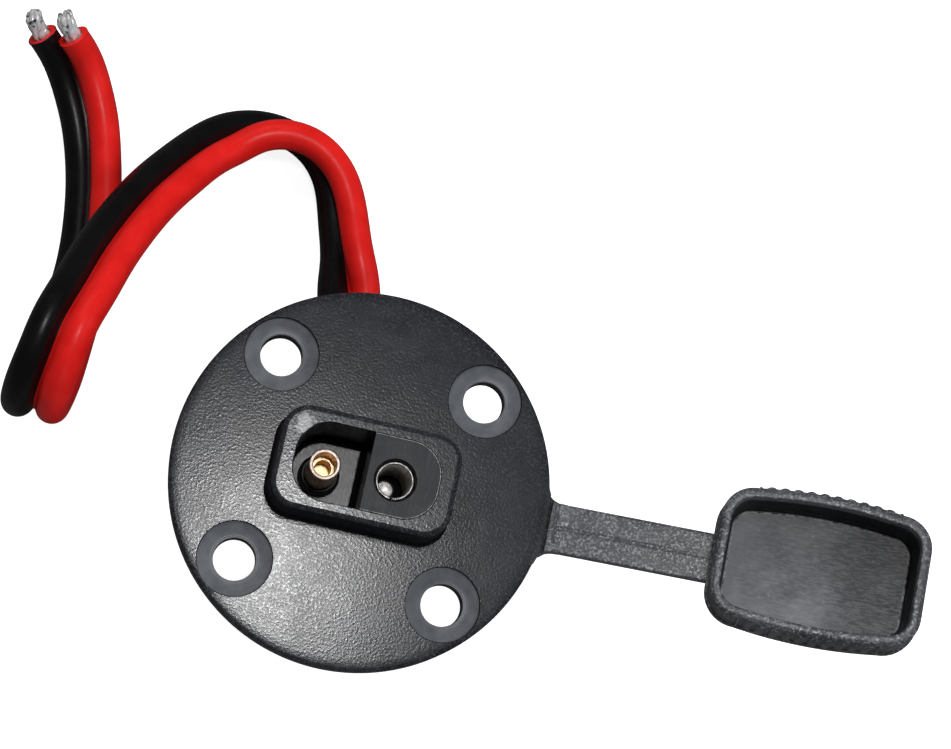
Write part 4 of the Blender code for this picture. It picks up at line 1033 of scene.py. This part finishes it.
def add_straps():
    root = [(29.5, 1.20, -0.90, 0.02, 0.0), (30.05, 1.00, -0.90, 0.02, 0.0), (30.45, 0.66, -0.80, 0.02, 0.0),
            (30.65, 0.50, -0.20, 0.02, 0.0), (30.80, 0.38, 0.0, 0.02, 0.0), (31.30, 0.20, 0.0, 0.02, 0.0),
            (31.40, 0.17, 0.0, 0.02, 0.34), (31.80, 0.10, 0.0, 0.03, 0.34), (31.95, 0.08, 0.02, 0.04, -0.05),
            (32.9, 0.02, 0.04, 0.08, -0.05), (33.1, 0.0, 0.03, 0.10, 0.02)]
    root += [(x, 0.0, 0.0, 0.12, 0.0) for x in (33.8, 34.6, 35.5, STRAP_SEAM_X)]
    first = strap_piece("strap_root_dressed", root)
    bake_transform(first)
    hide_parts("strap_inner")
    bend = [(STRAP_SEAM_X + (STRAP_END_X - STRAP_SEAM_X) * k / 34, 0.0, 0.0, 0.12 - 0.08 * k / 34, 0.0)
            for k in range(35)]
    second = strap_piece("strap_bend_dressed", bend)
    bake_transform(second)


def cap_outline(length, width, corner, rib=0.0):
    """The cap's plan; rib raises half-round ribs along both long sides."""
    corner_steps = 10
    side_steps = 168
    reach = length / 2 - corner
    half = width / 2
    points = []
    for turn in range(4):
        cx = reach if turn in (0, 3) else -reach
        cy = (half - corner) if turn in (0, 1) else (corner - half)
        for i in range(corner_steps + 1):
            a = math.radians(90 * turn + 90 * i / corner_steps)
            points.append((cx + corner * math.cos(a), cy + corner * math.sin(a)))
        if turn in (0, 2):
            sign = 1.0 if turn == 0 else -1.0
            for i in range(1, side_steps):
                x = sign * reach * (1 - 2 * i / side_steps)
                y = half + CAP_BULGE * (1 - (x / reach) ** 2)
                if rib > 0.0:
                    phase = x / CAP_RIB_PITCH + CAP_RIBS / 2
                    inside = 0.0 <= phase <= CAP_RIBS
                    offset = (phase % 1.0) - 0.5
                    if inside and abs(offset) < 0.36:
                        y += rib * math.sqrt(1 - (offset / 0.36) ** 2)
                points.append((x, sign * y))
    return points


def add_cap():
    def outer(grow, z, rib=0.0):
        return level(cap_outline(CAP_LENGTH + 2 * grow, CAP_WIDTH + 2 * grow, CAP_CORNER + grow, rib),
                     z, (CAP_X, 0.0))

    def inner(grow, z):
        return level(cap_outline(CAP_INNER_LENGTH + 2 * grow, CAP_INNER_WIDTH + 2 * grow,
                                 CAP_INNER_CORNER + grow), z, (CAP_X, 0.0))

    rings = []
    zones = []

    def add(ring, zone=0):
        rings.append(ring)
        zones.append(zone)

    for k in range(7):
        a = math.radians(90 - 90 * k / 6)
        add(outer(CAP_RIB_HEIGHT - 1.2 + 1.2 * math.cos(a), CAP_BASE_Z + 1.2 - 1.2 * math.sin(a)))
    low = CAP_BASE_Z + 3.0
    add(outer(CAP_RIB_HEIGHT, low - 0.35))
    add(outer(CAP_RIB_HEIGHT - 0.12, low - 0.1))
    high = CAP_RIM_Z - 0.9
    add(outer(0.0, low))
    for k in range(1, 5):
        a = math.radians(90 * k / 4)
        add(outer(0.0, low + 0.5 * (1 - math.cos(a)) + 0.02 * k, CAP_RIB_HEIGHT * math.sin(a)))
    for k in range(4, 0, -1):
        a = math.radians(90 * k / 4)
        add(outer(0.0, high - 0.5 * (1 - math.cos(a)) - 0.02 * k, CAP_RIB_HEIGHT * math.sin(a)))
    add(outer(0.0, high))
    for k in range(1, 8):
        a = math.radians(90 * k / 7)
        add(outer(-0.75 + 0.75 * math.cos(a), CAP_RIM_Z - 0.75 + 0.75 * math.sin(a)))
    for k in range(5):
        a = math.radians(90 - 90 * k / 4)
        add(inner(0.25 - 0.25 * math.cos(a), CAP_RIM_Z - 0.25 + 0.25 * math.sin(a)))
    draft = 0.35
    depth = CAP_RIM_Z - CAP_FLOOR_Z
    for share, step in ((0.22, 0.0), (0.235, 0.05), (0.45, 0.05), (0.465, 0.10), (0.68, 0.10), (0.695, 0.15)):
        add(inner(-(draft - 0.15) * share - step, CAP_RIM_Z - depth * share), 1)
    for k, zone in enumerate((1, 1, 1, 2, 3, 3, 2)):
        a = math.radians(90 * k / 6)
        add(inner(-draft - 0.5 * (1 - math.cos(a)), CAP_FLOOR_Z + 0.5 - 0.5 * math.sin(a)), zone)
    cap = loft("dust_cap_dressed", rings, [CAP_GRAIN, SHADED_CAP_WALL, CAP_FLOOR, CAP_EDGE_HIGHLIGHT], zones[:-1])
    cap.data.polygons[-1].material_index = 2
    lifted(cap)
    shade(cap, 40.0)
    dress(cap, "cap", "dust_cap")


add_straps()
add_cap()


# Floor and light

def add_floor():
    points = [(-1.5, -1.5, 0.0), (1.5, -1.5, 0.0), (1.5, 1.5, 0.0), (-1.5, 1.5, 0.0)]
    mesh = bpy.data.meshes.new("floor")
    mesh.from_pydata(points, [], [(0, 1, 2, 3)])
    floor = bpy.data.objects.new("floor", mesh)
    collection.objects.link(floor)
    material = bpy.data.materials.new("floor_white")
    material.use_nodes = True
    tree = material.node_tree
    tree.nodes.clear()

    def shader(kind, grey):
        node = tree.nodes.new(kind)
        node.inputs["Color"].default_value = (grey, grey, grey, 1.0)
        return node

    output = tree.nodes.new("ShaderNodeOutputMaterial")
    seen = shader("ShaderNodeEmission", 1.0)
    seen.inputs["Strength"].default_value = 0.86
    matte = shader("ShaderNodeBsdfDiffuse", 0.72)
    dim = shader("ShaderNodeBsdfDiffuse", 0.10)
    both = tree.nodes.new("ShaderNodeAddShader")
    tree.links.new(seen.outputs[0], both.inputs[0])
    tree.links.new(matte.outputs[0], both.inputs[1])
    rays = tree.nodes.new("ShaderNodeLightPath")
    mix = tree.nodes.new("ShaderNodeMixShader")
    tree.links.new(rays.outputs["Is Camera Ray"], mix.inputs[0])
    tree.links.new(dim.outputs[0], mix.inputs[1])
    tree.links.new(both.outputs[0], mix.inputs[2])
    tree.links.new(mix.outputs[0], output.inputs[0])
    mesh.materials.append(material)


FILL_AIM = (0.0, 0.0, 0.02)
FILL_SIZE = 0.5


def add_light(name, place, aim, size, power, colour=(1.0, 1.0, 1.0), mirrored=True):
    data = bpy.data.lights.new(name, "AREA")
    data.shape = "DISK"
    data.size = size
    data.energy = power
    data.color = colour
    light = bpy.data.objects.new(name, data)
    light.visible_glossy = mirrored
    collection.objects.link(light)
    way = Vector(aim) - Vector(place)
    light.matrix_world = Matrix.Translation(Vector(place)) @ way.to_track_quat("-Z", "Y").to_matrix().to_4x4()


def add_world():
    world = bpy.data.worlds.new("studio")
    bpy.context.scene.world = world
    world.use_nodes = True
    background = world.node_tree.nodes["Background"]
    background.inputs["Color"].default_value = (0.96, 0.98, 1.0, 1.0)
    background.inputs["Strength"].default_value = 0.06


add_floor()
add_light("key", (0.002, 0.032, 0.462), (-0.005, 0.0, 0.02), 0.06, 0.285)
add_light("fill_back", (-0.30, 0.62, 0.62), FILL_AIM, FILL_SIZE, 5.1, mirrored=False)
add_light("fill_side", (0.62, 0.10, 0.60), FILL_AIM, FILL_SIZE, 3.5, (0.94, 0.97, 1.0), False)
add_light("fill_front", (0.10, -0.70, 0.42), FILL_AIM, FILL_SIZE, 1.8, (0.97, 0.98, 1.0), False)
add_world()
bpy.context.scene.view_settings.view_transform = "Standard"
